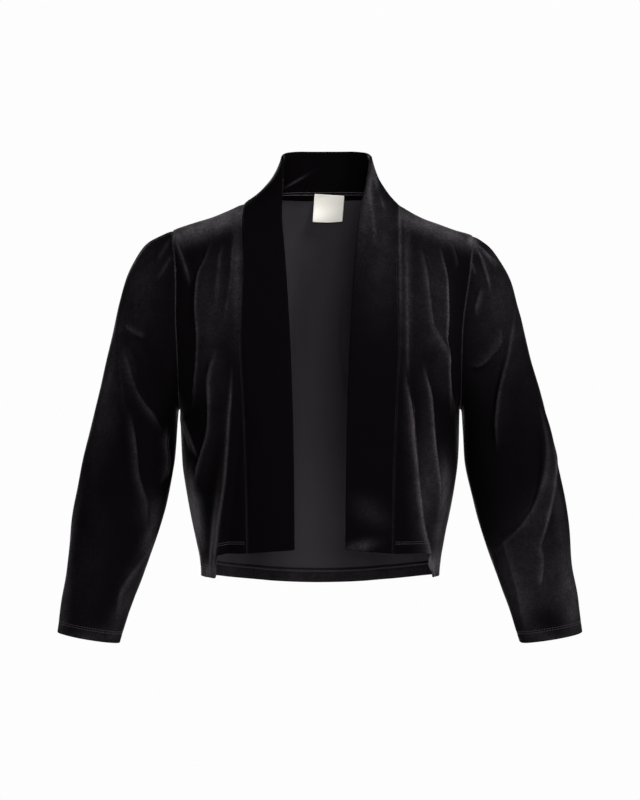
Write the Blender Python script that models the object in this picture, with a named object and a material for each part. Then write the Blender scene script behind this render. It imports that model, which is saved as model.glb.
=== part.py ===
"""Open-front cropped shrug in black stretch velvet, shaped as when worn and empty inside.

The sizes below are in millimetres and the meshes are made in metres. +Z is up, the front faces -Y
and the wearer's left is +X. The origin lies midway between the shoulder seams, where the wearer
carries the garment.

The pieces are one continuous skin, cut along the seams: two fronts, a back, two sleeves and one
band that runs from hem to hem round the back of the neck. Every piece is a wall with an outer and
an inner face, mitred where it meets its neighbour and parted from it by the seam gap.
"""

import math
from collections import namedtuple

import bmesh
import bpy
import numpy as np

MM = 0.001

# Cloth
CLOTH_WALL = 2.0
BAND_WALL = 3.0
HEM_WALL = 3.0
HEM_DEPTH = 15.0
SEAM_GAP = 0.3

# Places on the garment
NECK_POINT_HEIGHT = 21.0
SHOULDER_POINT_HEIGHT = -18.0
UNDERARM_HEIGHT = -229.0
NECK_POINT_X = 95.0
SHOULDER_POINT_X = 181.0
UNDERARM_X = 170.5
BACK_NECK_HEIGHT = 42.0
BACK_HEM_HEIGHT = -445.0
SIDE_HEM_HEIGHT = -431.0
FRONT_HEM_HEIGHT = -400.5
# How far the front hem falls from the band to its step
FRONT_HEM_FALL = 2.5
# How far the armhole bows in between shoulder and underarm
ARMHOLE_BOW = 5.0
# How flat the back neck seam is: more is flatter at the centre
NECK_FLATNESS = 5.0

# How it hangs: the collar leans to the wearer's left and the right shoulder sits out and up
COLLAR_LEAN = 8.0
LEAN_START = -10.0
LEAN_SPAN = 90.0
SHOULDER_OUT = 3.0
SHOULDER_UP = 6.5
SHOULDER_FROM = 60.0
SHOULDER_REACH = 120.0
SHOULDER_START = -240.0
SHOULDER_SPAN = 170.0

# Section shape: 2 is an ellipse, more is squarer
ROUNDNESS = 2.3
# How far the upper arm swells past the armhole, which sets the armhole's width from front to back
ARM_SWELL = 36.0
ARM_SWELL_TOP = 0.9
ARM_SWELL_LOW = 1.2

# Mesh density
ARMHOLE_ROWS = 18
SIDE_ROWS = 9
FRONT_COLUMNS = 16
NECK_COLUMNS = 6
SHOULDER_COLUMNS = 5
BAND_COLUMNS = 4
SLEEVE_RINGS = 22
RING_CROWDING = 1.25
DENSE_SAMPLES = 240

# Label and tape inside the back neck
LABEL_WIDTH = 37.0
LABEL_HEIGHT = 35.0
LABEL_CENTRE_X = 10.5
LABEL_DROP = 1.5
LABEL_WALL = 1.0
LABEL_STEPS = 5
TAPE_WIDTH = 12.0
TAPE_WALL = 1.0
TAPE_EDGE_GAP = 0.8

Section = namedtuple("Section", "height half_width front_depth back_depth")
MIDDLE = 5.0
FORM = [
    Section(height=95, half_width=53, front_depth=44, back_depth=52),
    Section(height=80, half_width=55.5, front_depth=46, back_depth=55),
    Section(height=57, half_width=63.5, front_depth=49, back_depth=58),
    Section(height=35, half_width=79.5, front_depth=52, back_depth=63),
    Section(height=21, half_width=95, front_depth=55, back_depth=69),
    Section(height=4, half_width=126, front_depth=58, back_depth=75),
    Section(height=-10, half_width=162, front_depth=61, back_depth=80),
    Section(height=-18, half_width=181, front_depth=63, back_depth=83),
    Section(height=-60, half_width=178, front_depth=80, back_depth=95),
    Section(height=-100, half_width=176, front_depth=96, back_depth=100),
    Section(height=-150, half_width=174, front_depth=111, back_depth=99),
    Section(height=-229, half_width=170.5, front_depth=119, back_depth=94),
    Section(height=-290, half_width=168.5, front_depth=117, back_depth=88),
    Section(height=-322, half_width=164.5, front_depth=114, back_depth=86),
    Section(height=-359, half_width=157.5, front_depth=111, back_depth=84),
    Section(height=-388, half_width=151.5, front_depth=108, back_depth=83),
    Section(height=-412, half_width=147, front_depth=106, back_depth=82),
    Section(height=-431, half_width=145.5, front_depth=106, back_depth=82),
    Section(height=-450, half_width=145.5, front_depth=106, back_depth=82),
]

# The seam between front and band, from the neck point to the hem
BandSeam = namedtuple("BandSeam", "height x")
BAND_SEAM = [
    BandSeam(height=21, x=95),
    BandSeam(height=-15, x=93.5),
    BandSeam(height=-60, x=92.5),
    BandSeam(height=-150, x=94.5),
    BandSeam(height=-230, x=91),
    BandSeam(height=-320, x=88),
    BandSeam(height=-400.5, x=87),
]

# The band's free edge round the back, from -1 at the centre back to 0 at the neck point, by its
# angle round the neck from the centre front, and then down the front to 1 at the hem, by its x
CollarEdge = namedtuple("CollarEdge", "along height angle")
COLLAR_EDGE = [
    CollarEdge(along=-1.00, height=91, angle=180),
    CollarEdge(along=-0.66, height=90.5, angle=150),
    CollarEdge(along=-0.33, height=88, angle=120),
    CollarEdge(along=0.00, height=81, angle=86),
]
BandEdge = namedtuple("BandEdge", "along height x")
BAND_EDGE = [
    BandEdge(along=0.00, height=81, x=55),
    BandEdge(along=0.06, height=67, x=53.5),
    BandEdge(along=0.12, height=44, x=51),
    BandEdge(along=0.19, height=10, x=47),
    BandEdge(along=0.28, height=-40, x=42),
    BandEdge(along=0.38, height=-96, x=38),
    BandEdge(along=0.50, height=-160, x=34.5),
    BandEdge(along=0.75, height=-278, x=31),
    BandEdge(along=1.00, height=-395.5, x=30),
]

# Sleeve rings from the armhole to the cuff, by the ends that show from the front
Ring = namedtuple("Ring", "outer_x outer_z inner_x inner_z half_depth middle")
SLEEVE = [
    Ring(outer_x=181, outer_z=-18, inner_x=170.5, inner_z=-229, half_depth=64, middle=8),
    Ring(outer_x=206, outer_z=-32, inner_x=172.8, inner_z=-231, half_depth=65, middle=8),
    Ring(outer_x=221, outer_z=-51, inner_x=173.6, inner_z=-235, half_depth=65, middle=8),
    Ring(outer_x=233, outer_z=-74, inner_x=173.8, inner_z=-240, half_depth=63, middle=7),
    Ring(outer_x=242, outer_z=-105, inner_x=174, inner_z=-247, half_depth=60, middle=6),
    Ring(outer_x=250, outer_z=-137, inner_x=174.4, inner_z=-257, half_depth=57, middle=5),
    Ring(outer_x=268, outer_z=-205, inner_x=176.3, inner_z=-288, half_depth=54, middle=2),
    Ring(outer_x=289, outer_z=-292, inner_x=187.5, inner_z=-345, half_depth=52, middle=-2),
    Ring(outer_x=302, outer_z=-362, inner_x=203, inner_z=-396, half_depth=50, middle=-7),
    Ring(outer_x=307, outer_z=-422, inner_x=220, inner_z=-445, half_depth=46, middle=-15),
    Ring(outer_x=313, outer_z=-457, inner_x=230.5, inner_z=-473, half_depth=42, middle=-20),
    Ring(outer_x=318, outer_z=-498, inner_x=242, inner_z=-511, half_depth=38, middle=-26),
]
CAP_BLEND = 0.35

# Gathers in the sleeve head, on each side of the shoulder point
GATHERS = 4
GATHER_PITCH = 12.5
GATHER_HEIGHT = 2.0
GATHER_RISE = 0.05
GATHER_FALL = 0.34

# Folds: a ridge through three points seen from the front or back, x outwards on its own side.
# Its foot is inner mm wide towards the centre and outer mm wide towards the side.
Fold = namedtuple("Fold", "panel side top_x top_z mid_x mid_z low_x low_z height inner outer")
FOLDS = [
    Fold("front", -1, 171, -20, 160, -52, 154, -84, 4, 9, 12),
    Fold("front", -1, 137, -22, 146, -75, 149, -158, 6, 28, 9),
    Fold("front", -1, 137, -142, 146, -185, 158, -228, 5, 16, 10),
    Fold("front", -1, 127, -140, 133, -222, 161, -332, 8, 26, 10),
    Fold("front", -1, 108, -170, 111, -285, 124, -450, 10, 12, 18),
    Fold("front", -1, 166, -226, 157, -260, 147, -288, 4, 10, 10),
    Fold("front", 1, 150, -34, 155, -130, 161, -238, 8, 24, 9),
    Fold("front", 1, 126, -40, 133, -118, 153, -174, 4, 16, 14),
    Fold("front", 1, 132, -165, 137, -255, 152, -356, 7, 13, 12),
    Fold("front", 1, 109, -178, 115, -285, 136, -450, 10, 14, 14),
    Fold("back", -1, 60, -150, 72, -290, 84, -480, 6, 22, 22),
    Fold("back", 1, 52, -170, 66, -300, 78, -480, 6, 22, 22),
    Fold("back", -1, 128, -90, 122, -190, 112, -300, 5, 18, 18),
    Fold("back", 1, 130, -90, 124, -180, 116, -280, 5, 18, 18),
    Fold("sleeve_front", -1, 231, -146, 216, -216, 186, -262, 6, 16, 18),
    Fold("sleeve_front", -1, 222, -226, 221, -295, 208, -364, 7, 20, 16),
    Fold("sleeve_front", -1, 200, -380, 226, -425, 246, -474, 4, 12, 14),
    Fold("sleeve_front", 1, 236, -105, 222, -185, 213, -275, 6, 16, 16),
    Fold("sleeve_front", 1, 270, -280, 252, -357, 208, -402, 8, 22, 20),
    Fold("sleeve_front", 1, 226, -390, 242, -443, 252, -498, 4, 12, 14),
    Fold("sleeve_back", -1, 240, -150, 224, -230, 200, -290, 6, 18, 18),
    Fold("sleeve_back", 1, 240, -150, 224, -230, 200, -290, 6, 18, 18),
    Fold("sleeve_back", -1, 276, -330, 252, -372, 226, -404, 6, 18, 18),
    Fold("sleeve_back", 1, 276, -330, 252, -372, 226, -404, 6, 18, 18),
]
FOLD_TAPER = 0.3
SEAM_FADE = 14.0

# Where each front's hem drops from the front's height to the side's height
HemStep = namedtuple("HemStep", "side x width")
HEM_STEPS = [HemStep(side=-1, x=124, width=12), HemStep(side=1, x=133, width=9)]

VELVET_BLACK = (0.006, 0.006, 0.007)
LABEL_WHITE = (0.80, 0.78, 0.74)


class Curve:
    """A smooth curve through pairs of position and value that never overshoots them."""

    def __init__(self, positions, values):
        order = np.argsort(positions)
        self.at = np.asarray(positions, float)[order]
        self.value = np.asarray(values, float)[order]
        step = np.diff(self.at)
        rise = np.diff(self.value) / step
        self.slope = np.concatenate([rise[:1], np.zeros(len(rise) - 1), rise[-1:]])
        for i in range(1, len(rise)):
            if rise[i - 1] * rise[i] > 0:
                near = 2 * step[i] + step[i - 1]
                far = step[i] + 2 * step[i - 1]
                self.slope[i] = (near + far) / (near / rise[i - 1] + far / rise[i])

    def __call__(self, position):
        position = np.clip(position, self.at[0], self.at[-1])
        i = np.clip(np.searchsorted(self.at, position) - 1, 0, len(self.at) - 2)
        step = self.at[i + 1] - self.at[i]
        t = (position - self.at[i]) / step
        start = self.value[i] * (1 + 2 * t) * (1 - t) ** 2
        end = self.value[i + 1] * t * t * (3 - 2 * t)
        leave = self.slope[i] * step * t * (1 - t) ** 2
        arrive = self.slope[i + 1] * step * t * t * (t - 1)
        return start + end + leave + arrive


def column(table, key, value):
    """A curve of one column of a table over another."""
    rows = [row for row in table if getattr(row, value) is not None]
    return Curve([getattr(row, key) for row in rows], [getattr(row, value) for row in rows])


def smooth_step(value):
    t = np.clip(value, 0.0, 1.0)
    return t * t * (3 - 2 * t)


outline = column(FORM, "height", "half_width")
front_depth = column(FORM, "height", "front_depth")
back_depth = column(FORM, "height", "back_depth")
band_seam_x = column(BAND_SEAM, "height", "x")


def ridge_height(x):
    """The height at which the form is as wide as x, which is the shoulder seam's height there."""
    heights = np.linspace(NECK_POINT_HEIGHT, SHOULDER_POINT_HEIGHT, DENSE_SAMPLES)
    return np.interp(x, outline(heights), heights)


def half_width(height):
    """Half the form's width at a height, with the upper arm's swell between shoulder and underarm."""
    drop = (SHOULDER_POINT_HEIGHT - height) / (SHOULDER_POINT_HEIGHT - UNDERARM_HEIGHT)
    drop = np.clip(drop, 0.0, 1.0)
    peak = ARM_SWELL_TOP / (ARM_SWELL_TOP + ARM_SWELL_LOW)
    most = peak**ARM_SWELL_TOP * (1 - peak) ** ARM_SWELL_LOW
    swell = drop**ARM_SWELL_TOP * (1 - drop) ** ARM_SWELL_LOW / most
    return outline(height) + ARM_SWELL * swell


def depth_at(x, height, facing):
    """The form's y at an x and a height. Facing is -1 for the front and 1 for the back."""
    depth = front_depth(height) if facing < 0 else back_depth(height)
    share = np.clip(np.abs(x) / half_width(height), 0.0, 1.0)
    return MIDDLE + facing * depth * (1 - share**ROUNDNESS) ** (1 / ROUNDNESS)


def on_form(x, height, facing):
    """Points on the form, from arrays of x and height."""
    x, height = np.broadcast_arrays(np.asarray(x, float), np.asarray(height, float))
    return np.stack([x, depth_at(x, height, facing), height], axis=-1)


def round_form(angle, height):
    """Points on the form at angles in degrees round from the centre front."""
    turn = np.radians(angle)
    x = half_width(height) * np.abs(np.sin(turn)) ** (2 / ROUNDNESS)
    depth = np.where(np.cos(turn) > 0, -front_depth(height), back_depth(height))
    y = MIDDLE + depth * np.abs(np.cos(turn)) ** (2 / ROUNDNESS)
    return np.stack([x, y, height], axis=-1)


def angle_of(points):
    """The angles at which points of the form lie, in degrees round from the centre front."""
    share = np.clip(np.abs(points[..., 0]) / half_width(points[..., 2]), 0.0, 1.0)
    turn = np.degrees(np.arcsin(share ** (ROUNDNESS / 2)))
    return np.where(points[..., 1] > MIDDLE, 180 - turn, turn)


def respaced(points, shares):
    """Points along a polyline at shares of its length."""
    steps = np.linalg.norm(np.diff(points, axis=0), axis=1)
    length = np.concatenate([[0.0], np.cumsum(steps)])
    wanted = np.asarray(shares) * length[-1]
    return np.stack([np.interp(wanted, length, points[:, i]) for i in range(3)], axis=1)


def armhole_shares():
    """Row places down the armhole, closer together at the sleeve head's gathers and underarm."""
    even = np.linspace(0.0, 1.0, ARMHOLE_ROWS + 1)
    return 0.45 * even + 1.5 * even**2 - 0.95 * even**3


def body_column(across, top_x, top_z, low_x, hem_z, facing):
    """One column of a front or back, from its top edge by the bust line to the hem."""
    v = np.linspace(0.0, 1.0, DENSE_SAMPLES) ** 3
    armhole_z = SHOULDER_POINT_HEIGHT + (UNDERARM_HEIGHT - SHOULDER_POINT_HEIGHT) * v
    height = top_z + (UNDERARM_HEIGHT - top_z) * v
    start = across(height, armhole_z)
    x = start + (top_x - start[0]) * (1 - v) + (low_x(UNDERARM_HEIGHT) - start[-1]) * v
    upper = on_form(x, height, facing)
    if top_x >= NECK_POINT_X:
        upper[0, 1] = MIDDLE
    upper = respaced(upper, armhole_shares())
    lower_z = np.linspace(UNDERARM_HEIGHT, hem_z, DENSE_SAMPLES)
    lower = on_form(low_x(lower_z), lower_z, facing)
    length = np.linalg.norm(np.diff(lower, axis=0), axis=1).sum()
    hem_share = 1 - HEM_DEPTH / length
    hem_lip = 1 / length
    shares = np.concatenate([np.linspace(0, hem_share, SIDE_ROWS + 1), [hem_share + hem_lip, 1]])
    return np.concatenate([upper[:-1], respaced(lower, shares)])


def column_shares():
    """Column places across a front, even round the curve of the bust line."""
    seam = math.asin((band_seam_x(UNDERARM_HEIGHT) / UNDERARM_X) ** (ROUNDNESS / 2))
    turns = np.linspace(seam, math.pi / 2, FRONT_COLUMNS + 1)
    reach = np.sin(turns) ** (2 / ROUNDNESS)
    return (reach - reach[0]) / (reach[-1] - reach[0])


def armhole_x(height):
    share = (SHOULDER_POINT_HEIGHT - height) / (SHOULDER_POINT_HEIGHT - UNDERARM_HEIGHT)
    share = np.clip(share, 0.0, 1.0)
    bow = ARMHOLE_BOW * 4 * share * (1 - share)
    return SHOULDER_POINT_X + (UNDERARM_X - SHOULDER_POINT_X) * share - bow


def front_grid(side):
    """The front's skin on the wearer's left, with the hem of the given side. Rows run down."""
    step = next(row for row in HEM_STEPS if row.side == side)
    columns = []
    for u in column_shares():
        top_x = NECK_POINT_X + (SHOULDER_POINT_X - NECK_POINT_X) * u

        def across(height, armhole_z, u=u):
            return (1 - u) * band_seam_x(height) + u * armhole_x(armhole_z)

        def low_x(height, u=u):
            return (1 - u) * band_seam_x(height) + u * outline(height)

        hem_x = low_x(FRONT_HEM_HEIGHT)
        seam_x = band_seam_x(FRONT_HEM_HEIGHT)
        front_z = FRONT_HEM_HEIGHT - FRONT_HEM_FALL * min((hem_x - seam_x) / (step.x - seam_x), 1.0)
        drop = smooth_step((hem_x - step.x) / step.width + 0.5)
        hem_z = front_z + (SIDE_HEM_HEIGHT - front_z) * drop
        columns.append(body_column(across, top_x, ridge_height(top_x), low_x, hem_z, facing=-1))
    return np.stack(columns, axis=1)


def back_neck_height(x):
    """The neck seam across the back, from the neck point to the centre."""
    share = np.clip(np.abs(x) / NECK_POINT_X, 0.0, 1.0)
    return NECK_POINT_HEIGHT + (BACK_NECK_HEIGHT - NECK_POINT_HEIGHT) * (1 - share**NECK_FLATNESS)


def back_top():
    """x and height of the back's top edge, from the centre to the shoulder point."""
    neck = NECK_POINT_X * np.sin(np.linspace(0, math.pi / 2, NECK_COLUMNS + 1))
    shoulder = np.linspace(NECK_POINT_X, SHOULDER_POINT_X, SHOULDER_COLUMNS + 1)[1:]
    heights = np.concatenate([back_neck_height(neck), ridge_height(shoulder)])
    return np.concatenate([neck, shoulder]), heights


def back_grid():
    """The back's skin, from one side to the other. Rows run down."""
    half = []
    for top_x, top_z in zip(*back_top()):
        u = top_x / SHOULDER_POINT_X

        def across(height, armhole_z, u=u):
            return u * armhole_x(armhole_z)

        def low_x(height, u=u):
            return u * outline(height)

        hem_z = BACK_HEM_HEIGHT + (SIDE_HEM_HEIGHT - BACK_HEM_HEIGHT) * u**2
        half.append(body_column(across, top_x, top_z, low_x, hem_z, facing=1))
    half = np.stack(half, axis=1)
    mirrored = half[:, :0:-1] * [-1, 1, 1]
    return np.concatenate([mirrored, half], axis=1)


def sleeve_rings():
    """Functions of the place along the sleeve for every column of its table, and rows of places."""
    outer = np.array([[row.outer_x, row.outer_z] for row in SLEEVE])
    steps = np.linalg.norm(np.diff(outer, axis=0), axis=1)
    place = np.concatenate([[0.0], np.cumsum(steps)]) / steps.sum()
    curves = {name: Curve(place, [getattr(row, name) for row in SLEEVE]) for name in Ring._fields}
    hem = 1 - HEM_DEPTH / steps.sum()
    lip = 1 / steps.sum()
    upper = np.linspace(0, 1, SLEEVE_RINGS + 1) ** RING_CROWDING * hem
    return curves, np.concatenate([upper, [hem + lip, 1.0]])


def sleeve_grid(front, back):
    """The sleeve's skin on the wearer's left. Rings run down, columns from the top by the front."""
    armhole = np.concatenate([front[: ARMHOLE_ROWS + 1, -1], back[ARMHOLE_ROWS - 1 : 0 : -1, -1]])
    share = (SHOULDER_POINT_HEIGHT - armhole[:, 2]) / (SHOULDER_POINT_HEIGHT - UNDERARM_HEIGHT)
    turn = np.arccos(np.clip(1 - 2 * share, -1, 1))
    turn[ARMHOLE_ROWS + 1 :] *= -1
    at, places = sleeve_rings()

    def ring(place):
        outer = np.array([at["outer_x"](place), at["middle"](place), at["outer_z"](place)])
        inner = np.array([at["inner_x"](place), at["middle"](place), at["inner_z"](place)])
        deep = np.array([0.0, -at["half_depth"](place), 0.0])
        across = np.outer(np.cos(turn), (outer - inner) / 2)
        return (outer + inner) / 2 + across + np.outer(np.sin(turn), deep)

    own_shape = armhole - ring(0.0)
    return np.stack([ring(t) + own_shape * smooth_step(1 - t / CAP_BLEND) for t in places])


def seam_places(seam):
    """Shares of its length at which a seam's points lie."""
    steps = np.linalg.norm(np.diff(seam, axis=0), axis=1)
    return np.concatenate([[0.0], np.cumsum(steps)]) / steps.sum()


def band_strip(seam, edge_angle, edge_height):
    """Rows across the band from a stretch of its seam to its free edge, on the form all the way."""
    across = np.linspace(0, 1, BAND_COLUMNS + 1)
    angle = angle_of(seam)[:, None] * (1 - across) + edge_angle[:, None] * across
    height = seam[:, 2:] * (1 - across) + edge_height[:, None] * across
    strip = round_form(angle, height)
    strip[:, 0] = seam
    return strip


def collar_strip(seam):
    along = seam_places(seam) - 1
    angle = column(COLLAR_EDGE, "along", "angle")(along)
    return band_strip(seam, angle, column(COLLAR_EDGE, "along", "height")(along))


def front_strip(seam):
    along = seam_places(seam)
    height = column(BAND_EDGE, "along", "height")(along)
    edge = on_form(column(BAND_EDGE, "along", "x")(along), height, -1)
    return band_strip(seam, angle_of(edge), height)


def band_grid(fronts, back):
    """The band's skin, from the hem on the wearer's right round the neck to the hem on the left."""
    centre = SHOULDER_COLUMNS + NECK_COLUMNS
    neck = collar_strip(back[0, centre : centre + NECK_COLUMNS + 1])[:-1]
    left = np.concatenate([neck, front_strip(fronts[1][:, 0])])
    right = np.concatenate([neck, front_strip(fronts[-1][:, 0])]) * [-1, 1, 1]
    return np.concatenate([right[:0:-1], left])


def edge_fade(grid, wrapped=False):
    """Falls to 0 at a skin's top and side seams, and is 1 away from them and at the hem."""
    down = np.linalg.norm(np.diff(grid, axis=0), axis=2)
    down = np.concatenate([np.zeros((1, grid.shape[1])), np.cumsum(down, axis=0)])
    fade = smooth_step(down / SEAM_FADE)
    if wrapped:
        return fade
    over = np.linalg.norm(np.diff(grid, axis=1), axis=2)
    over = np.concatenate([np.zeros((grid.shape[0], 1)), np.cumsum(over, axis=1)], axis=1)
    return fade * smooth_step(over / SEAM_FADE) * smooth_step((over[:, -1:] - over) / SEAM_FADE)


def fold_height(grid, panel, side):
    """How far the folds of a panel lift its skin, from its points as seen from the front."""
    x, height = np.abs(grid[..., 0]), grid[..., 2]
    lift = np.zeros(grid.shape[:2])
    for fold in FOLDS:
        if fold.panel != panel or fold.side != side:
            continue
        path = Curve([fold.low_z, fold.mid_z, fold.top_z], [fold.low_x, fold.mid_x, fold.top_x])
        off = x - path(height)
        foot = np.where(off < 0, fold.inner, fold.outer)
        ridge = 0.5 * (1 + np.cos(np.pi * np.clip(off / foot, -1, 1)))
        run = (fold.top_z - height) / (fold.top_z - fold.low_z)
        ends = smooth_step(run / FOLD_TAPER) * smooth_step((1 - run) / FOLD_TAPER)
        lift += fold.height * ridge * ends
    return lift


def gather_height(grid):
    """The gathers of a sleeve head, a row of soft tucks on each side of the shoulder point."""
    rings, columns = grid.shape[:2]
    half = columns // 2
    steps = np.linalg.norm(np.diff(grid[0, : half + 1], axis=0), axis=1)
    from_top = np.concatenate([[0.0], np.cumsum(steps)])
    from_top = np.concatenate([from_top, from_top[half - 1 : 0 : -1]])
    wave = 0.5 - 0.5 * np.cos(2 * np.pi * from_top / GATHER_PITCH)
    wave = np.where(from_top < GATHERS * GATHER_PITCH, wave, 0.0)
    place = np.linspace(0.0, 1.0, rings)
    run = smooth_step(place / GATHER_RISE) * (1 - smooth_step(place / GATHER_FALL))
    return GATHER_HEIGHT * np.outer(run, wave)


def unit(vectors):
    return vectors / np.maximum(np.linalg.norm(vectors, axis=-1, keepdims=True), 1e-12)


def normal_sums(grid, wrapped):
    """At each point of a skin, the sum of the directions of the faces round it."""
    if wrapped:
        grid = np.concatenate([grid, grid[:, :1]], axis=1)
    rising = grid[1:, 1:] - grid[:-1, :-1]
    falling = grid[:-1, 1:] - grid[1:, :-1]
    face = unit(np.cross(rising, falling))
    total = np.zeros_like(grid)
    total[:-1, :-1] += face
    total[1:, :-1] += face
    total[:-1, 1:] += face
    total[1:, 1:] += face
    if wrapped:
        total[:, 0] += total[:, -1]
        total = total[:, :-1]
    return total


def shared_normals(skins):
    """Outward normals of every skin, averaged over the skins that share a seam point."""
    sums = {}
    for skin in skins.values():
        total = normal_sums(skin.points, skin.wrapped) * skin.out
        for point, normal in zip(skin.points.reshape(-1, 3), total.reshape(-1, 3)):
            key = tuple(np.round(point, 4))
            sums[key] = sums.get(key, 0) + normal
    return {
        name: unit(
            np.array([sums[tuple(np.round(p, 4))] for p in skin.points.reshape(-1, 3)])
        ).reshape(skin.points.shape)
        for name, skin in skins.items()
    }


class Skin:
    """A piece's outer face: a grid of points, whether its columns close, and the way that is out."""

    def __init__(self, points, wrapped=False, out=1.0, seams=(), walls=None):
        self.points = points
        self.wrapped = wrapped
        self.out = out
        self.seams = seams
        self.walls = walls


def hang(points):
    """Points moved from the even form to how the garment hangs."""
    x, height = points[..., 0], points[..., 2]
    moved = points.copy()
    moved[..., 0] += COLLAR_LEAN * smooth_step((height - LEAN_START) / LEAN_SPAN)
    outwards = smooth_step((-x - SHOULDER_FROM) / SHOULDER_REACH)
    upwards = smooth_step((height - SHOULDER_START) / SHOULDER_SPAN)
    moved[..., 0] -= SHOULDER_OUT * outwards * upwards
    moved[..., 2] += SHOULDER_UP * outwards * upwards
    return moved


def wall_depths(grid):
    """Wall thickness at each point: the cloth, and more where the last two rows turn up the hem."""
    walls = np.full(grid.shape[:2], CLOTH_WALL)
    walls[-2:] = HEM_WALL
    return walls


def make_skins():
    """Every piece's outer face, with its folds."""
    fronts = {side: front_grid(side) for side in (-1, 1)}
    back = back_grid()
    sleeve = sleeve_grid(fronts[1], back)
    band = band_grid(fronts, back)
    skins = {
        "back": Skin(back, out=-1, seams=("top", "left", "right")),
        "band": Skin(band, out=-1, seams=("left",)),
    }
    for side, word in ((-1, "right"), (1, "left")):
        mirror = np.array([side, 1, 1])
        skins["front_" + word] = Skin(
            fronts[side] * mirror, out=side, seams=("top", "left", "right")
        )
        skins["sleeve_" + word] = Skin(sleeve * mirror, wrapped=True, out=-side, seams=("top",))
    for skin in skins.values():
        skin.points = hang(skin.points)
    normals = shared_normals(skins)
    lifts = fold_lifts(skins, normals)
    for name, skin in skins.items():
        skin.points = skin.points + normals[name] * lifts[name][..., None]
        skin.walls = wall_depths(skin.points)
    skins["band"].walls = np.full(band.shape[:2], BAND_WALL)
    return skins


def fold_lifts(skins, normals):
    """How far the folds and gathers lift each skin."""
    lifts = {"band": np.zeros(skins["band"].points.shape[:2])}
    back = skins["back"].points
    half = np.sign(back[..., 0])
    both = [fold_height(back, "back", side) * (half == side) for side in (-1, 1)]
    lifts["back"] = sum(both) * edge_fade(back)
    for side, word in ((-1, "right"), (1, "left")):
        front = skins["front_" + word].points
        lifts["front_" + word] = fold_height(front, "front", side) * edge_fade(front)
        sleeve = skins["sleeve_" + word].points
        facing = normals["sleeve_" + word][..., 1]
        lift = fold_height(sleeve, "sleeve_front", side) * smooth_step(-facing * 2)
        lift += fold_height(sleeve, "sleeve_back", side) * smooth_step(facing * 2)
        lifts["sleeve_" + word] = lift * edge_fade(sleeve, wrapped=True) + gather_height(sleeve)
    return lifts


def level_shoulder_normals(skins, normals):
    """On the shoulder seams both pieces lie level from front to back, so their mitre is upright."""
    for name in ("front_left", "front_right", "back"):
        top = normals[name][0]
        heights = skins[name].points[0, :, 2]
        shoulder = heights <= NECK_POINT_HEIGHT + 1e-6
        top[shoulder, 1] = 0.0
        normals[name][0] = unit(top)


def seam_pulls(skin):
    """How far each seam point is drawn into its own piece, so that seams stand the gap apart."""
    points = skin.points
    pull = np.zeros_like(points)
    half = SEAM_GAP / 2
    if "top" in skin.seams:
        pull[0] += unit(points[1] - points[0]) * half
    if "left" in skin.seams:
        pull[:, 0] += unit(points[:, 1] - points[:, 0]) * half
    if "right" in skin.seams:
        pull[:, -1] += unit(points[:, -2] - points[:, -1]) * half
    return pull


def sheet_faces(rows, columns, wrapped):
    """Quads of a wall's outer and inner faces, as index lists.

    Both faces start each quad at the same corner, so that a bent quad bends the same way in both.
    """
    inner = rows * columns
    faces = []
    for r in range(rows - 1):
        for c in range(columns if wrapped else columns - 1):
            corner, down = r * columns + c, (r + 1) * columns + c
            along, across = r * columns + (c + 1) % columns, (r + 1) * columns + (c + 1) % columns
            faces.append([corner, along, across, down])
            faces.append([inner + i for i in (corner, down, across, along)])
    return faces


def rim_faces(points, rows, columns, wrapped):
    """Quads that close a wall along its edges, each split along its shorter diagonal.

    Two pieces that meet at a seam have the same four corners there, so they split the same way.
    """
    inner = rows * columns
    edges = []
    for r in (0, rows - 1):
        starts = range(columns if wrapped else columns - 1)
        edges += [(r * columns + c, r * columns + (c + 1) % columns) for c in starts]
    if not wrapped:
        for c in (0, columns - 1):
            edges += [(r * columns + c, (r + 1) * columns + c) for r in range(rows - 1)]
    faces = []
    for start, end in edges:
        quad = [start, end, inner + end, inner + start]
        one = np.linalg.norm(points[quad[0]] - points[quad[2]])
        other = np.linalg.norm(points[quad[1]] - points[quad[3]])
        faces.append(quad if one <= other else quad[1:] + quad[:1])
    return faces


def make_wall(name, outer, inner, wrapped, material, collection):
    """A closed wall lofted through the rows of its outer and inner faces, in metres."""
    rows, columns = outer.shape[:2]
    points = np.concatenate([outer.reshape(-1, 3), inner.reshape(-1, 3)]) * MM
    built = bmesh.new()
    verts = [built.verts.new(p) for p in points]
    faces = sheet_faces(rows, columns, wrapped) + rim_faces(points, rows, columns, wrapped)
    for face in faces:
        built.faces.new([verts[i] for i in face])
    bmesh.ops.recalc_face_normals(built, faces=built.faces)
    mesh = bpy.data.meshes.new(name)
    built.to_mesh(mesh)
    built.free()
    mesh.shade_smooth()
    mesh.set_sharp_from_angle(angle=math.radians(50))
    mesh.materials.append(material)
    obj = bpy.data.objects.new(name, mesh)
    collection.objects.link(obj)
    return obj


def tape_faces(inner, inward):
    """The tape's two faces: the back's neck points down to the tape's width, moved in.

    Its lower edge isn't sewn down, so it stands a little further off.
    """
    neck = slice(SHOULDER_COLUMNS + 1, SHOULDER_COLUMNS + 2 * NECK_COLUMNS)
    top, first, second = inner[:3, neck]
    above = np.linalg.norm(first - top, axis=1, keepdims=True)
    step = np.linalg.norm(second - first, axis=1, keepdims=True)
    share = (TAPE_WIDTH - above) / step
    low = first + (second - first) * share
    low_way = unit(inward[1, neck] + (inward[2, neck] - inward[1, neck]) * share)
    ways = np.stack([inward[0, neck], inward[1, neck], low_way])
    gaps = np.array([SEAM_GAP, SEAM_GAP, TAPE_EDGE_GAP])[:, None, None]
    near = np.stack([top, first, low]) + ways * gaps
    return near, near + ways * TAPE_WALL


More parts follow.
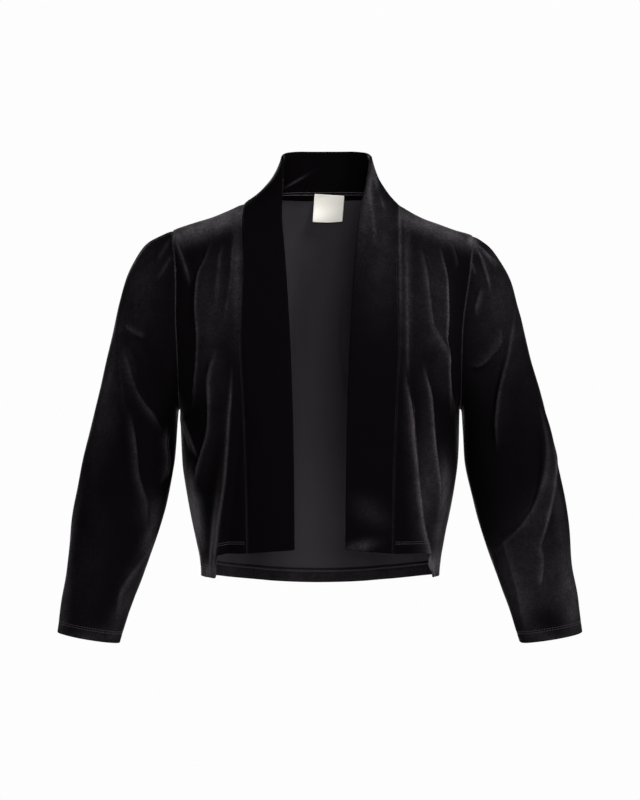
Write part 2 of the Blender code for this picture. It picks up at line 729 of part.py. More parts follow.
def label_faces(inner, inward):
    """The label's two faces, from the back's neck points moved in past the tape."""
    centre = SHOULDER_COLUMNS + NECK_COLUMNS
    half = LABEL_WIDTH / 2
    drops = LABEL_DROP + np.linspace(0, LABEL_HEIGHT, LABEL_STEPS + 1)
    across = LABEL_CENTRE_X + np.linspace(-half, half, LABEL_STEPS + 1)
    lines = []
    for c in range(centre - 2, centre + 4):
        steps = np.linalg.norm(np.diff(inner[:, c], axis=0), axis=1)
        lines.append(respaced(inner[:, c], drops / steps.sum()))
    near = np.zeros((len(drops), len(across), 3))
    for row, line in enumerate(np.stack(lines, axis=1)):
        for i in range(3):
            near[row, :, i] = np.interp(across, line[:, 0], line[:, i])
    way = inward[1, centre]
    near = near + way * (SEAM_GAP + TAPE_EDGE_GAP + TAPE_WALL)
    return near, near + way * LABEL_WALL


def velvet():
    cloth = bpy.data.materials.new("black_stretch_velvet")
    cloth.use_nodes = True
    shader = cloth.node_tree.nodes["Principled BSDF"]
    shader.inputs["Base Color"].default_value = (*VELVET_BLACK, 1.0)
    shader.inputs["Roughness"].default_value = 0.85
    shader.inputs["Metallic"].default_value = 0.0
    shader.inputs["Sheen Weight"].default_value = 1.0
    return cloth


def woven_label():
    cloth = bpy.data.materials.new("white_woven_label")
    cloth.use_nodes = True
    shader = cloth.node_tree.nodes["Principled BSDF"]
    shader.inputs["Base Color"].default_value = (*LABEL_WHITE, 1.0)
    shader.inputs["Roughness"].default_value = 0.6
    shader.inputs["Metallic"].default_value = 0.0
    return cloth


def clear_scene():
    for obj in list(bpy.data.objects):
        bpy.data.objects.remove(obj, do_unlink=True)


def main():
    clear_scene()
    collection = bpy.data.collections.new("velvet_shrug")
    bpy.context.scene.collection.children.link(collection)
    cloth, label_cloth = velvet(), woven_label()
    skins = make_skins()
    normals = shared_normals(skins)
    level_shoulder_normals(skins, normals)
    for name, skin in skins.items():
        outer = skin.points + seam_pulls(skin)
        inner = outer - normals[name] * skin.walls[..., None]
        make_wall(name, outer, inner, skin.wrapped, cloth, collection)
        if name == "back":
            tape = tape_faces(inner, -normals[name])
            label = label_faces(inner, -normals[name])
    make_wall("neck_tape", *tape, False, cloth, collection)
    make_wall("neck_label", *label, False, label_cloth, collection)


main()
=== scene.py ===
"""Looks of an open-front cropped shrug in black stretch velvet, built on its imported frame.

Sizes are in millimetres in the garment's own frame, and meshes are made in metres: +Z is up, the
front faces -Y and the wearer's left is +X. Every panel is cut from one worn form, draped with its
creases, rolled in at its seams and turned up at its hems. It is a thin wall with a pile face
outside and a knit back inside.
"""

from __future__ import annotations

import logging
import math
from collections.abc import Callable
from dataclasses import dataclass, field
from enum import Enum
from typing import NamedTuple

import bmesh
import bpy
import numpy as np
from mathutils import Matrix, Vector

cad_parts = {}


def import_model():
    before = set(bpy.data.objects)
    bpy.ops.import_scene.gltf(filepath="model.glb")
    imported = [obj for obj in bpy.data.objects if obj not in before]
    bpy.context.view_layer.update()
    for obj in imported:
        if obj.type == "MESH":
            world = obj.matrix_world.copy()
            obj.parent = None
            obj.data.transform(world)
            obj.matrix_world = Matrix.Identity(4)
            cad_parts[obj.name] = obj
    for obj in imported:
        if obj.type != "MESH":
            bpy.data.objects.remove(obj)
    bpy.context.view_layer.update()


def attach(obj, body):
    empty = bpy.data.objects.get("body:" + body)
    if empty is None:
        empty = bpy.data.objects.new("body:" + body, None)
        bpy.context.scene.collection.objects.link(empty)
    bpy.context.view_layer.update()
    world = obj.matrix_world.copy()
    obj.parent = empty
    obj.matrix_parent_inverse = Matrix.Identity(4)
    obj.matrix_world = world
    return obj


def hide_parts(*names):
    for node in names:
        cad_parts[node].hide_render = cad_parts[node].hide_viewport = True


LOG = logging.getLogger("shrug")
MM = 0.001
BODY = "root"
# Points nearer than this, in metres, become one
WELD = 2e-6
UV_NAME = "cloth"
# Name of the mesh attribute of painted sheen and shade on the pile, partly the lie of the pile
PAINTED_SHEEN_AND_NAP_NAME = "nap"
Array = np.ndarray


class Side(Enum):
    """The wearer's two sides, by the sign of x."""

    RIGHT = -1
    LEFT = 1


class Facing(Enum):
    """The two faces of the worn form, by the sign of y."""

    FRONT = -1
    BACK = 1


class Edge(Enum):
    """The four edges of a panel's grid."""

    TOP = "top"
    BOTTOM = "bottom"
    LEFT = "left"
    RIGHT = "right"


class Border(Enum):
    """How an edge of a panel is finished."""

    SEAM = "rolled into a seam"
    FOLD = "folded back on itself"


BODY_BORDERS = {Edge.BOTTOM: Border.FOLD, **dict.fromkeys((Edge.LEFT, Edge.RIGHT, Edge.TOP), Border.SEAM)}
BAND_BORDERS = {**dict.fromkeys((Edge.TOP, Edge.BOTTOM, Edge.RIGHT), Border.FOLD), Edge.LEFT: Border.SEAM}


class Region(Enum):
    """The stretch of cloth that a crease lies on."""

    FRONT = "front"
    BACK = "back"
    SLEEVE_FRONT = "sleeve front"
    SLEEVE_BACK = "sleeve back"


class Spot(NamedTuple):
    """A place seen from the front: x outwards from the centre, and height."""

    x: float
    z: float


class Curve:
    """A smooth curve through pairs of place and value that never overshoots them."""

    def __init__(self, places: list[float], values: list[float]) -> None:
        """Fits the slopes.

        Args:
            places: Where the values hold, in any order.
            values: The curve's values there.
        """
        order = np.argsort(places)
        self.at = np.asarray(places, float)[order]
        self.value = np.asarray(values, float)[order]
        step = np.diff(self.at)
        rise = np.diff(self.value) / step
        self.slope = np.concatenate([rise[:1], np.zeros(len(rise) - 1), rise[-1:]])
        for i in range(1, len(rise)):
            if rise[i - 1] * rise[i] > 0:
                near = 2 * step[i] + step[i - 1]
                far = step[i] + 2 * step[i - 1]
                self.slope[i] = (near + far) / (near / rise[i - 1] + far / rise[i])

    def __call__(self, place: Array) -> Array:
        """Reads the curve.

        Args:
            place: Where to read it; past its ends it keeps its last value.

        Returns:
            The values there.
        """
        place = np.clip(place, self.at[0], self.at[-1])
        i = np.clip(np.searchsorted(self.at, place) - 1, 0, len(self.at) - 2)
        step = self.at[i + 1] - self.at[i]
        t = (place - self.at[i]) / step
        start = self.value[i] * (1 + 2 * t) * (1 - t) ** 2
        end = self.value[i + 1] * t * t * (3 - 2 * t)
        leave = self.slope[i] * step * t * (1 - t) ** 2
        arrive = self.slope[i + 1] * step * t * t * (t - 1)
        return start + end + leave + arrive


def curves_of(rows: tuple[NamedTuple, ...], places: Array | list[float] | None = None) -> dict[str, Curve]:
    """A curve for each column of a table.

    Args:
        rows: The table's rows, all of one kind.
        places: Where the rows hold, if that isn't their first column.

    Returns:
        The curves by the names of the columns.
    """
    over = [row[0] for row in rows] if places is None else places
    return {name: Curve(over, [getattr(row, name) for row in rows]) for name in rows[0]._fields}


def smooth_step(value: Array) -> Array:
    """Rises smoothly from 0 at 0 to 1 at 1."""
    share = np.clip(value, 0.0, 1.0)
    return share * share * (3 - 2 * share)


def unit(vectors: Array) -> Array:
    """Vectors of length 1 along the given ones."""
    return vectors / np.maximum(np.linalg.norm(vectors, axis=-1, keepdims=True), 1e-9)


def lengths_along(points: Array, axis: int = 0) -> Array:
    """Distances of the points of a line or a grid from its first ones, along an axis."""
    steps = np.linalg.norm(np.diff(points, axis=axis), axis=-1)
    return np.insert(np.cumsum(steps, axis=axis), 0, 0.0, axis=axis)


def read_along(line: Array, length: Array, at: Array) -> Array:
    """Points or directions of a line at distances along it."""
    return np.stack([np.interp(at, length, line[:, i]) for i in range(3)], axis=1)


def respaced(line: Array, shares: Array) -> Array:
    """Points along a line at shares of its length, from 0 to 1."""
    length = lengths_along(line)
    return read_along(line, length, np.asarray(shares) * length[-1])


def evened(grid: Array, evenness: Array) -> Array:
    """A grid whose points are spread evenly along each row.

    Args:
        grid: Rows of points.
        evenness: For each row, from 0 to keep its points to 1 to spread them.

    Returns:
        The same surface with its points moved along the rows.
    """
    even = np.linspace(0, 1, grid.shape[1])
    rows = []
    for row, share in zip(grid, evenness):
        length = lengths_along(row)
        rows.append(respaced(row, (1 - share) * length / length[-1] + share * even))
    return np.stack(rows)


class Section(NamedTuple):
    """A level section of the worn form."""

    height: float
    half_width: float
    front_depth: float
    back_depth: float


@dataclass
class WornForm:
    """The shape that the garment keeps when worn, from which all its pieces are cut."""

    sections: tuple[Section, ...] = (
        Section(95, 53, 44, 52),
        Section(80, 55.5, 46, 55),
        Section(57, 63.5, 49, 58),
        Section(35, 79.5, 52, 63),
        Section(21, 95, 55, 69),
        Section(4, 126, 58, 75),
        Section(-10, 162, 61, 80),
        Section(-18, 181, 63, 83),
        Section(-60, 178, 80, 95),
        Section(-100, 176, 96, 100),
        Section(-150, 174, 111, 99),
        Section(-229, 170.5, 119, 94),
        Section(-290, 168.5, 117, 88),
        Section(-322, 164.5, 114, 86),
        Section(-359, 157.5, 111, 84),
        Section(-388, 151.5, 108, 83),
        Section(-412, 147, 106, 82),
        Section(-431, 145.5, 106, 82),
        Section(-450, 145.5, 106, 82),
    )
    neck_point: Spot = Spot(95, 21)
    shoulder_point: Spot = Spot(181, -18)
    underarm: Spot = Spot(170.5, -229)
    middle: float = 5.0
    roundness: float = 2.3
    arm_swell: float = 36.0
    swell_top: float = 0.9
    swell_low: float = 1.2
    collar_lean: float = 8.0
    lean_start: float = -10.0
    lean_span: float = 90.0
    shoulder_out: float = 3.0
    shoulder_up: float = 6.5
    shoulder_from: float = 60.0
    shoulder_reach: float = 120.0
    shoulder_start: float = -240.0
    shoulder_span: float = 170.0
    armhole_slide: float = 5.0
    slide_width: float = 20.0
    slide_start: float = -140.0
    slide_span: float = 80.0
    samples: int = 240

    def __post_init__(self) -> None:
        """Makes a curve of each column of the sections."""
        curves = curves_of(self.sections)
        self.outline = curves["half_width"]
        self.depths = {Facing.FRONT: curves["front_depth"], Facing.BACK: curves["back_depth"]}

    def down_arm(self, height: Array) -> Array:
        """Share of the way from the shoulder point down to the underarm."""
        top, low = self.shoulder_point.z, self.underarm.z
        return np.clip((top - height) / (top - low), 0, 1)

    def ridge_height(self, x: Array) -> Array:
        """Height of the shoulder seam at an x, where the form is as wide as that."""
        heights = np.linspace(self.neck_point.z, self.shoulder_point.z, self.samples)
        return np.interp(x, self.outline(heights), heights)

    def half_width(self, height: Array) -> Array:
        """Half the form's width, with the upper arm's swell.

        Args:
            height: Heights on the form.

        Returns:
            Half the width at each of them.
        """
        drop = self.down_arm(height)
        peak = self.swell_top / (self.swell_top + self.swell_low)
        most = peak**self.swell_top * (1 - peak) ** self.swell_low
        swell = drop**self.swell_top * (1 - drop) ** self.swell_low / most
        return self.outline(height) + self.arm_swell * swell

    def on_form(self, x: Array, height: Array, facing: Facing) -> Array:
        """Points on the form.

        Args:
            x: Distances from the centre.
            height: Their heights.
            facing: The front or the back of the form.

        Returns:
            The points, with their depths.
        """
        x, height = np.broadcast_arrays(np.asarray(x, float), np.asarray(height, float))
        share = np.clip(np.abs(x) / self.half_width(height), 0, 1)
        depth = self.depths[facing](height) * (1 - share**self.roundness) ** (1 / self.roundness)
        return np.stack([x, self.middle + facing.value * depth, height], axis=-1)

    def round_form(self, angle: Array, height: Array) -> Array:
        """Points round the form.

        Args:
            angle: Degrees round from the centre front.
            height: Their heights.

        Returns:
            The points on the wearer's left.
        """
        turn = np.radians(angle)
        x = self.half_width(height) * np.abs(np.sin(turn)) ** (2 / self.roundness)
        front, back = self.depths[Facing.FRONT](height), self.depths[Facing.BACK](height)
        depth = np.where(np.cos(turn) > 0, -front, back)
        y = self.middle + depth * np.abs(np.cos(turn)) ** (2 / self.roundness)
        return np.stack([x, y, height], axis=-1)

    def angle_of(self, points: Array) -> Array:
        """Degrees round from the centre front.

        Args:
            points: Points of the form.

        Returns:
            Their angles.
        """
        share = np.clip(np.abs(points[..., 0]) / self.half_width(points[..., 2]), 0, 1)
        turn = np.degrees(np.arcsin(share ** (self.roundness / 2)))
        return np.where(points[..., 1] > self.middle, 180 - turn, turn)

    def hang(self, points: Array) -> Array:
        """Moves points from the even form to how the garment hangs.

        The collar leans to the wearer's left, the right shoulder sits out and up, and the tops of the
        armholes sit a little to the left.

        Args:
            points: Points of the even form.

        Returns:
            The moved points.
        """
        x, height = points[..., 0], points[..., 2]
        moved = points.copy()
        moved[..., 0] += self.collar_lean * smooth_step((height - self.lean_start) / self.lean_span)
        outwards = smooth_step((-x - self.shoulder_from) / self.shoulder_reach)
        upwards = smooth_step((height - self.shoulder_start) / self.shoulder_span)
        moved[..., 0] -= self.shoulder_out * outwards * upwards
        moved[..., 2] += self.shoulder_up * outwards * upwards
        by_armhole = np.exp(-(((np.abs(x) - self.shoulder_point.x) / self.slide_width) ** 2))
        at_top = smooth_step((height - self.slide_start) / self.slide_span)
        moved[..., 0] += self.armhole_slide * by_armhole * at_top
        return moved


def facing_edge(grid: Array, edge: Edge) -> Array:
    """The grid turned so that its rows run inwards from an edge."""
    turned = grid.swapaxes(0, 1) if edge in (Edge.LEFT, Edge.RIGHT) else grid
    return turned[::-1] if edge in (Edge.BOTTOM, Edge.RIGHT) else turned


def turned_back(grid: Array, edge: Edge) -> Array:
    """Undoes facing_edge."""
    turned = grid[::-1] if edge in (Edge.BOTTOM, Edge.RIGHT) else grid
    return turned.swapaxes(0, 1) if edge in (Edge.LEFT, Edge.RIGHT) else turned


@dataclass
class Hem:
    """A turned-up hem: the grid's rows by their height above its edge, and those that are sewn.

    Straight stitches show outside on the stitched rows, and a zigzag joins the covered rows inside.
    """

    depth: float = 15.0
    rows: tuple[float, ...] = (15, 14.5, 12.75, 12, 9.5, 7.5, 5.5, 3.6, 2, 0)
    stitched: tuple[float, ...] = (14.5, 12)
    covered: tuple[float, ...] = (15, 12.75)

    def shares(self, length: float, plain_rows: int) -> Array:
        """Rows of a panel of a length that ends in this hem, as shares of the length."""
        plain = np.linspace(0, 1 - self.rows[0] / length, plain_rows + 1)
        return np.concatenate([plain, 1 - np.array(self.rows[1:]) / length])

    def row_at(self, distance: float) -> int:
        """Index, from the last row, of the row that lies a distance above the edge."""
        return self.rows.index(distance) - len(self.rows)


HEM = Hem()


@dataclass
class Panel:
    """A cut piece of cloth: a grid of outer points, how its edges are finished, and its wall."""

    name: str
    node: str
    points: Array
    out: float
    borders: dict[Edge, Border]
    hemmed: bool = True
    wall: float = 1.2
    hem_wall: float = 2.4
    seam_fade: float = 8.0
    seam_floor: float = 0.15
    seam_depth: float = 1.05
    roll_room: float = 0.8
    roll_steps: int = 5
    rim_steps: int = 4
    # How far the pile inside the turned-up hems is lightened
    turn_up_nap: float = 0.4
    normals: Array = field(default_factory=lambda: np.zeros(0))
    # The painted sheen and shade on the pile, outside and inside, partly the lie of the pile
    nap: Array = field(default_factory=lambda: np.zeros(0))
    inner_nap: Array = field(default_factory=lambda: np.zeros(0))

    def normal_sums(self) -> Array:
        """Sums of the directions of the faces round each point, outwards."""
        grid = self.points
        face = unit(np.cross(grid[1:, 1:] - grid[:-1, :-1], grid[:-1, 1:] - grid[1:, :-1]))
        total = np.zeros_like(grid)
        for rows in (slice(0, -1), slice(1, None)):
            for columns in (slice(0, -1), slice(1, None)):
                total[rows, columns] += face
        return total * self.out

    def seam_distance(self) -> Array:
        """Distance of every point from the nearest seam edge."""
        nearest = np.full(self.points.shape[:2], np.inf)
        for edge, border in self.borders.items():
            if border is Border.SEAM:
                inwards = lengths_along(facing_edge(self.points, edge))
                nearest = np.minimum(nearest, turned_back(inwards, edge))
        return nearest

    def walls(self) -> Array:
        """Thickness at every point, with the turned-up hem."""
        depth = np.full(self.points.shape[:2], self.wall)
        if self.hemmed:
            depth[1 - len(HEM.rows) :] = self.hem_wall
        return depth

    def rolled(self, outer: Array, inner: Array, normal: Array, nap: Array) -> tuple[Array, ...]:
        """Rolls the first row of a panel into its seam.

        Args:
            outer: The pile face, with the seam as its first row.
            inner: The knit face.
            normal: Directions outwards.
            nap: The painted sheen and shade on the pile, partly the lie of the pile.

        Returns:
            The four grids with the rows of the roll in place of the first row.
        """
        inwards = unit(outer[1] - outer[0])
        turn = np.radians(np.linspace(90, 0, self.roll_steps))[:, None, None]
        room = np.linalg.norm(outer[1] - outer[0], axis=1, keepdims=True)
        radius = np.minimum(self.wall - self.seam_floor, self.roll_room * room)
        over = inwards * radius * (1 - np.sin(turn))
        dip = normal[0] * np.minimum(radius, self.seam_depth) * (1 - np.cos(turn))
        return (
            np.concatenate([outer[0] + over - dip, outer[1:]]),
            np.concatenate([inner[0] + over, inner[1:]]),
            np.concatenate([np.repeat(normal[:1], self.roll_steps, axis=0), normal[1:]]),
            np.concatenate([np.repeat(nap[:1], self.roll_steps, axis=0), nap[1:]]),
        )

    def faces_of_wall(self) -> tuple[Array, Array, Array]:
        """The pile face and the knit face, with their edges finished.

        Returns:
            Two grids of points of the same shape, and the painted sheen and shade on the pile of both.
        """
        outer, normal = self.points, self.normals
        nap = np.zeros((*outer.shape[:2], 2))
        if self.nap.size:
            nap = np.stack([self.nap, self.inner_nap + self.turn_up_nap], axis=-1)
        inner = outer - normal * self.walls()[..., None]
        for edge, border in self.borders.items():
            turned = [facing_edge(grid, edge) for grid in (outer, inner, normal, nap)]
            if border is Border.SEAM:
                turned = self.rolled(*turned)
            else:
                drawn = np.linalg.norm(turned[0][0] - turned[1][0], axis=1, keepdims=True) / 2
                for grid in turned[:2]:
                    grid[0] = grid[0] + unit(grid[1] - grid[0]) * drawn
            outer, inner, normal, nap = (turned_back(grid, edge).copy() for grid in turned)
        return outer, inner, nap

    def rim(self, outer: Array, inner: Array, edge: Edge) -> Array:
        """Lines that close the wall along an edge, from its outer to its inner face.

        Args:
            outer: The pile face.
            inner: The knit face.
            edge: The edge to close.

        Returns:
            Lines of points between the two faces, bulging out where the edge is a fold.
        """
        out, near = (facing_edge(grid, edge) for grid in (outer, inner))
        middle, half = (out[0] + near[0]) / 2, (out[0] - near[0]) / 2
        bulge = unit(out[0] - out[1]) * np.linalg.norm(half, axis=1, keepdims=True)
        if self.borders[edge] is Border.SEAM:
            bulge = bulge * 0
        turn = np.linspace(0, math.pi, self.rim_steps + 2)[1:-1, None, None]
        return middle + half * np.cos(turn) + bulge * np.sin(turn)


class MeshParts:
    """Points, faces and the material slots of the faces, gathered for one mesh."""

    def __init__(self) -> None:
        """Starts with nothing."""
        self.points: list[Array] = []
        self.uvs: list[Array] = []
        self.naps: list[Array] = []
        self.faces: list[tuple[int, ...]] = []
        self.wears: list[int] = []
        self.count = 0

    def add_points(self, points: Array, uvs: Array, nap: Array | float = 0.0) -> Array:
        """Adds points.

        Args:
            points: A grid or a line of points.
            uvs: Their places on the flat cloth.
            nap: The painted sheen and shade on the pile there.

        Returns:
            Their numbers, in the same arrangement.
        """
        numbers = self.count + np.arange(points[..., 0].size).reshape(points.shape[:-1])
        self.points.append(points.reshape(-1, 3))
        self.uvs.append(uvs.reshape(-1, 2))
        self.naps.append(np.broadcast_to(nap, numbers.shape).reshape(-1))
        self.count += numbers.size
        return numbers

    def add_grid(self, numbers: Array, wears: Array | int = 0) -> None:
        """Adds the faces of a grid of points.

        Args:
            numbers: The points' numbers.
            wears: The material slot of all the faces, or of each row of them.
        """
        corners = (numbers[:-1, :-1], numbers[:-1, 1:], numbers[1:, 1:], numbers[1:, :-1])
        self.faces += np.stack(corners, axis=-1).reshape(-1, 4).tolist()
        rows = np.broadcast_to(np.reshape(wears, (-1, 1)), corners[0].shape)
        self.wears += rows.reshape(-1).tolist()

    def add_lens(self, one: Array, other: Array) -> None:
        """Fills between two arcs that share their first and last points.

        Args:
            one: Numbers of the points of an arc.
            other: Numbers of the points of the other arc.
        """
        for i in range(len(one) - 1):
            face = dict.fromkeys([one[i], one[i + 1], other[i + 1], other[i]])
            self.faces.append(tuple(int(n) for n in face))
            self.wears.append(0)

    def build(self, name: str, materials: list[bpy.types.Material]) -> bpy.types.Object:
        """Makes a smooth mesh object of what was gathered.

        Args:
            name: The piece's name.
            materials: The materials of its slots.

        Returns:
            The object, riding on the garment's one body.
        """
        mesh = bpy.data.meshes.new(name)
        mesh.from_pydata((np.concatenate(self.points) * MM).tolist(), [], self.faces)
        mesh.polygons.foreach_set("material_index", np.array(self.wears, np.int32))
        corners = np.zeros(len(mesh.loops), np.int32)
        mesh.loops.foreach_get("vertex_index", corners)
        # The painted sheen and shade on the pile, which the velvet's colour reads
        brushed = mesh.attributes.new(PAINTED_SHEEN_AND_NAP_NAME, "FLOAT", "POINT")
        brushed.data.foreach_set("value", np.concatenate(self.naps).astype(np.float32))
        layer = mesh.uv_layers.new(name=UV_NAME)
        places = (np.concatenate(self.uvs) * MM)[corners]
        layer.uv.foreach_set("vector", places.astype(np.float32).ravel())
        welded = bmesh.new()
        welded.from_mesh(mesh)
        bmesh.ops.remove_doubles(welded, verts=welded.verts, dist=WELD)
        bmesh.ops.recalc_face_normals(welded, faces=welded.faces)
        welded.to_mesh(mesh)
        welded.free()
        mesh.shade_smooth()
        for material in materials:
            mesh.materials.append(material)
        obj = bpy.data.objects.new(name, mesh)
        bpy.context.scene.collection.objects.link(obj)
        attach(obj, BODY)
        LOG.info("%s: %d points, %d faces", name, len(mesh.vertices), len(mesh.polygons))
        return obj


PILE, KNIT = 0, 1
# How fast a crease or a patch comes in as the cloth turns to its side
FACING_GAIN = 2.0


def wall_object(panel: Panel, materials: list[bpy.types.Material]) -> bpy.types.Object:
    """Makes a panel's closed wall.

    Args:
        panel: The panel, draped.
        materials: The pile's and the knit back's materials.

    Returns:
        The piece.
    """
    outer, inner, nap = panel.faces_of_wall()
    uvs = np.stack([lengths_along(outer, 1), -lengths_along(outer, 0)], axis=-1)
    parts = MeshParts()
    far, near = parts.add_points(outer, uvs, nap[..., 0]), parts.add_points(inner, uvs, nap[..., 1])
    parts.add_grid(far, PILE)
    backing = np.full(len(outer) - 1, KNIT)
    if panel.hemmed:
        backing[-len(HEM.rows) :] = PILE
    parts.add_grid(near, backing)
    arcs: dict[tuple[Edge, int], Array] = {}
    for edge in Edge:
        lines = panel.rim(outer, inner, edge)
        along = np.broadcast_to(facing_edge(uvs, edge)[0], (*lines.shape[:2], 2))
        between = parts.add_points(lines, along, facing_edge(nap[..., 0], edge)[0])
        ends = facing_edge(far, edge)[:1], facing_edge(near, edge)[:1]
        strip = np.concatenate([ends[0], between, ends[1]])
        parts.add_grid(strip, PILE)
        arcs[edge, 0], arcs[edge, -1] = strip[:, 0], strip[:, -1]
    for across, side in ((Edge.TOP, 0), (Edge.BOTTOM, -1)):
        parts.add_lens(arcs[across, 0], arcs[Edge.LEFT, side])
        parts.add_lens(arcs[across, -1], arcs[Edge.RIGHT, side])
    return parts.build(panel.name, materials)


def share_normals(panels: list[Panel]) -> None:
    """Gives every panel its outward normals, averaged over the panels that share a seam.

    Args:
        panels: All the panels of the garment.
    """
    every = np.concatenate([panel.points.reshape(-1, 3) for panel in panels])
    sums = np.concatenate([panel.normal_sums().reshape(-1, 3) for panel in panels])
    _, group = np.unique(np.round(every, 3), axis=0, return_inverse=True)
    group = group.reshape(-1)
    total = np.stack([np.bincount(group, sums[:, i]) for i in range(3)], axis=1)
    shared = unit(total[group])
    start = 0
    for panel in panels:
        count = panel.points[..., 0].size
        panel.normals = shared[start : start + count].reshape(panel.points.shape)
        start += count


class HemStep(NamedTuple):
    """Where a front's hem drops from its own height to the side's."""

    x: float
    width: float


@dataclass
class Bodice:
    """The back and the two fronts."""

    form: WornForm
    back_neck: float = 42.0
    back_hem: float = -445.0
    side_hem: float = -431.0
    front_hem: float = -400.5
    front_hem_fall: float = 0.8
    armhole_bow: float = 5.0
    neck_flatness: float = 5.0
    band_seam: tuple[Spot, ...] = (
        Spot(95, 21),
        Spot(93.5, -15),
        Spot(92.5, -60),
        Spot(94.5, -150),
        Spot(91, -230),
        Spot(88, -320),
        Spot(87, -400.5),
    )
    hem_steps: dict[Side, HemStep] = field(
        default_factory=lambda: {Side.RIGHT: HemStep(122, 7), Side.LEFT: HemStep(132, 7)}
    )
    armhole_rows: int = 80
    side_rows: int = 66
    cut_columns: int = 110
    front_columns: int = 90
    neck_columns: int = 36
    shoulder_columns: int = 46
    even_from: float = 60.0
    crowding: int = 3
    row_spread: tuple[float, ...] = (0.8, 0.6, -0.4)

    def seam_x(self, height: Array) -> Array:
        """Distance of the band's seam from the centre at a height."""
        return curves_of(self.band_seam, [spot.z for spot in self.band_seam])["x"](height)

    def armhole_x(self, height: Array) -> Array:
        """Distance of the armhole from the centre at a height."""
        top, low, share = self.form.shoulder_point.x, self.form.underarm.x, self.form.down_arm(height)
        return top + (low - top) * share - self.armhole_bow * 4 * share * (1 - share)

    def neck_height(self, x: Array) -> Array:
        """Height of the back's neck seam at a distance from the centre."""
        low = self.form.neck_point
        return low.z + (self.back_neck - low.z) * (1 - (x / low.x) ** self.neck_flatness)

    def column(
        self,
        across: Callable[[Array, Array], Array],
        top: Spot,
        low_x: Callable[[Array], Array],
        hem_z: float,
        facing: Facing,
    ) -> Array:
        """One column of a front or back, by the bust line to the hem.

        Args:
            across: The column's x from heights on it and on the armhole.
            top: Where it starts.
            low_x: Its x below the underarm, from heights.
            hem_z: The hem's height.
            facing: The front or the back of the form.

        Returns:
            The column's points.
        """
        form = self.form
        v = np.linspace(0, 1, form.samples) ** self.crowding
        armhole_z = form.shoulder_point.z + (form.underarm.z - form.shoulder_point.z) * v
        height = top.z + (form.underarm.z - top.z) * v
        start = across(height, armhole_z)
        x = start + (top.x - start[0]) * (1 - v) + (low_x(form.underarm.z) - start[-1]) * v
        upper = form.on_form(x, height, facing)
        if top.x >= form.neck_point.x:
            upper[0, 1] = form.middle
        even = np.linspace(0, 1, self.armhole_rows + 1)
        spread = sum(factor * even**power for power, factor in enumerate(self.row_spread, 1))
        upper = respaced(upper, spread)
        lower_z = np.linspace(form.underarm.z, hem_z, form.samples)
        lower = form.on_form(low_x(lower_z), lower_z, facing)
        shares = HEM.shares(lengths_along(lower)[-1], self.side_rows)
        return np.concatenate([upper[:-1], respaced(lower, shares)])

    def front_grid(self, side: Side) -> Array:
        """A front's points on the wearer's left, from the band's seam to the armhole and side.

        Args:
            side: The side whose hem it has.

        Returns:
            The points, in rows down from the shoulder seam.
        """
        form, step = self.form, self.hem_steps[side]
        seam_turn = math.asin((self.seam_x(form.underarm.z) / form.underarm.x) ** (form.roundness / 2))
        reach = np.sin(np.linspace(seam_turn, math.pi / 2, self.cut_columns)) ** (2 / form.roundness)
        columns = []
        for u in (reach - reach[0]) / (reach[-1] - reach[0]):
            top_x = form.neck_point.x + (form.shoulder_point.x - form.neck_point.x) * u

            def across(height: Array, armhole_z: Array, u: float = u) -> Array:
                """x between the band's seam and the armhole."""
                return (1 - u) * self.seam_x(height) + u * self.armhole_x(armhole_z)

            def low_x(height: Array, u: float = u) -> Array:
                """x between the band's seam and the side."""
                return (1 - u) * self.seam_x(height) + u * form.outline(height)

            hem_x, seam_x = low_x(self.front_hem), self.seam_x(self.front_hem)
            fall = min((hem_x - seam_x) / (step.x - seam_x), 1)
            front_z = self.front_hem - self.front_hem_fall * fall
            drop = smooth_step((hem_x - step.x) / step.width + 0.5)
            hem_z = front_z + (self.side_hem - front_z) * drop
            top = Spot(top_x, form.ridge_height(top_x))
            columns.append(self.column(across, top, low_x, hem_z, Facing.FRONT))
        cut = np.stack(columns, axis=1)
        even = np.linspace(0, 1, self.front_columns + 1)
        return np.stack([respaced(row, even) for row in cut])

    def back_grid(self) -> Array:
        """The back's points, from the wearer's right to the left.

        Returns:
            The points, in rows down from the neck and shoulder seams.
        """
        form = self.form
        neck_x = form.neck_point.x * np.sin(np.linspace(0, math.pi / 2, self.neck_columns + 1))
        shoulder = np.linspace(form.neck_point.x, form.shoulder_point.x, self.shoulder_columns + 1)[1:]
        tops = np.concatenate([neck_x, shoulder])
        heights = np.concatenate([self.neck_height(neck_x), form.ridge_height(shoulder)])
        half = []
        for top_x, top_z in zip(tops, heights):
            u = top_x / form.shoulder_point.x

            def across(height: Array, armhole_z: Array, u: float = u) -> Array:
                """x between the centre and the armhole."""
                return u * self.armhole_x(armhole_z)

            def low_x(height: Array, u: float = u) -> Array:
                """x between the centre and the side."""
                return u * form.outline(height)

            hem_z = self.back_hem + (self.side_hem - self.back_hem) * u**2
            half.append(self.column(across, Spot(top_x, top_z), low_x, hem_z, Facing.BACK))
        grid = np.stack(half, axis=1)
        down = lengths_along(grid)[:, 0]
        grid = evened(grid, smooth_step(down / self.even_from))
        return np.concatenate([grid[:, :0:-1] * [-1, 1, 1], grid], axis=1)

    def cut(self) -> dict[str, Panel]:
        """Cuts the back and the fronts.

        Returns:
            The panels by their nodes' names.
        """
        panels = {"back": Panel("velvet_back", "back", self.back_grid(), -1, BODY_BORDERS)}
        for side in Side:
            node = "front_" + side.name.lower()
            points = self.front_grid(side) * [side.value, 1, 1]
            panels[node] = Panel("velvet_" + node, node, points, side.value, BODY_BORDERS)
        return panels


class Ring(NamedTuple):
    """A ring round the sleeve, by its two ends seen from the front, its depth and its middle."""

    outer_x: float
    outer_z: float
    inner_x: float
    inner_z: float
    half_depth: float
    middle: float


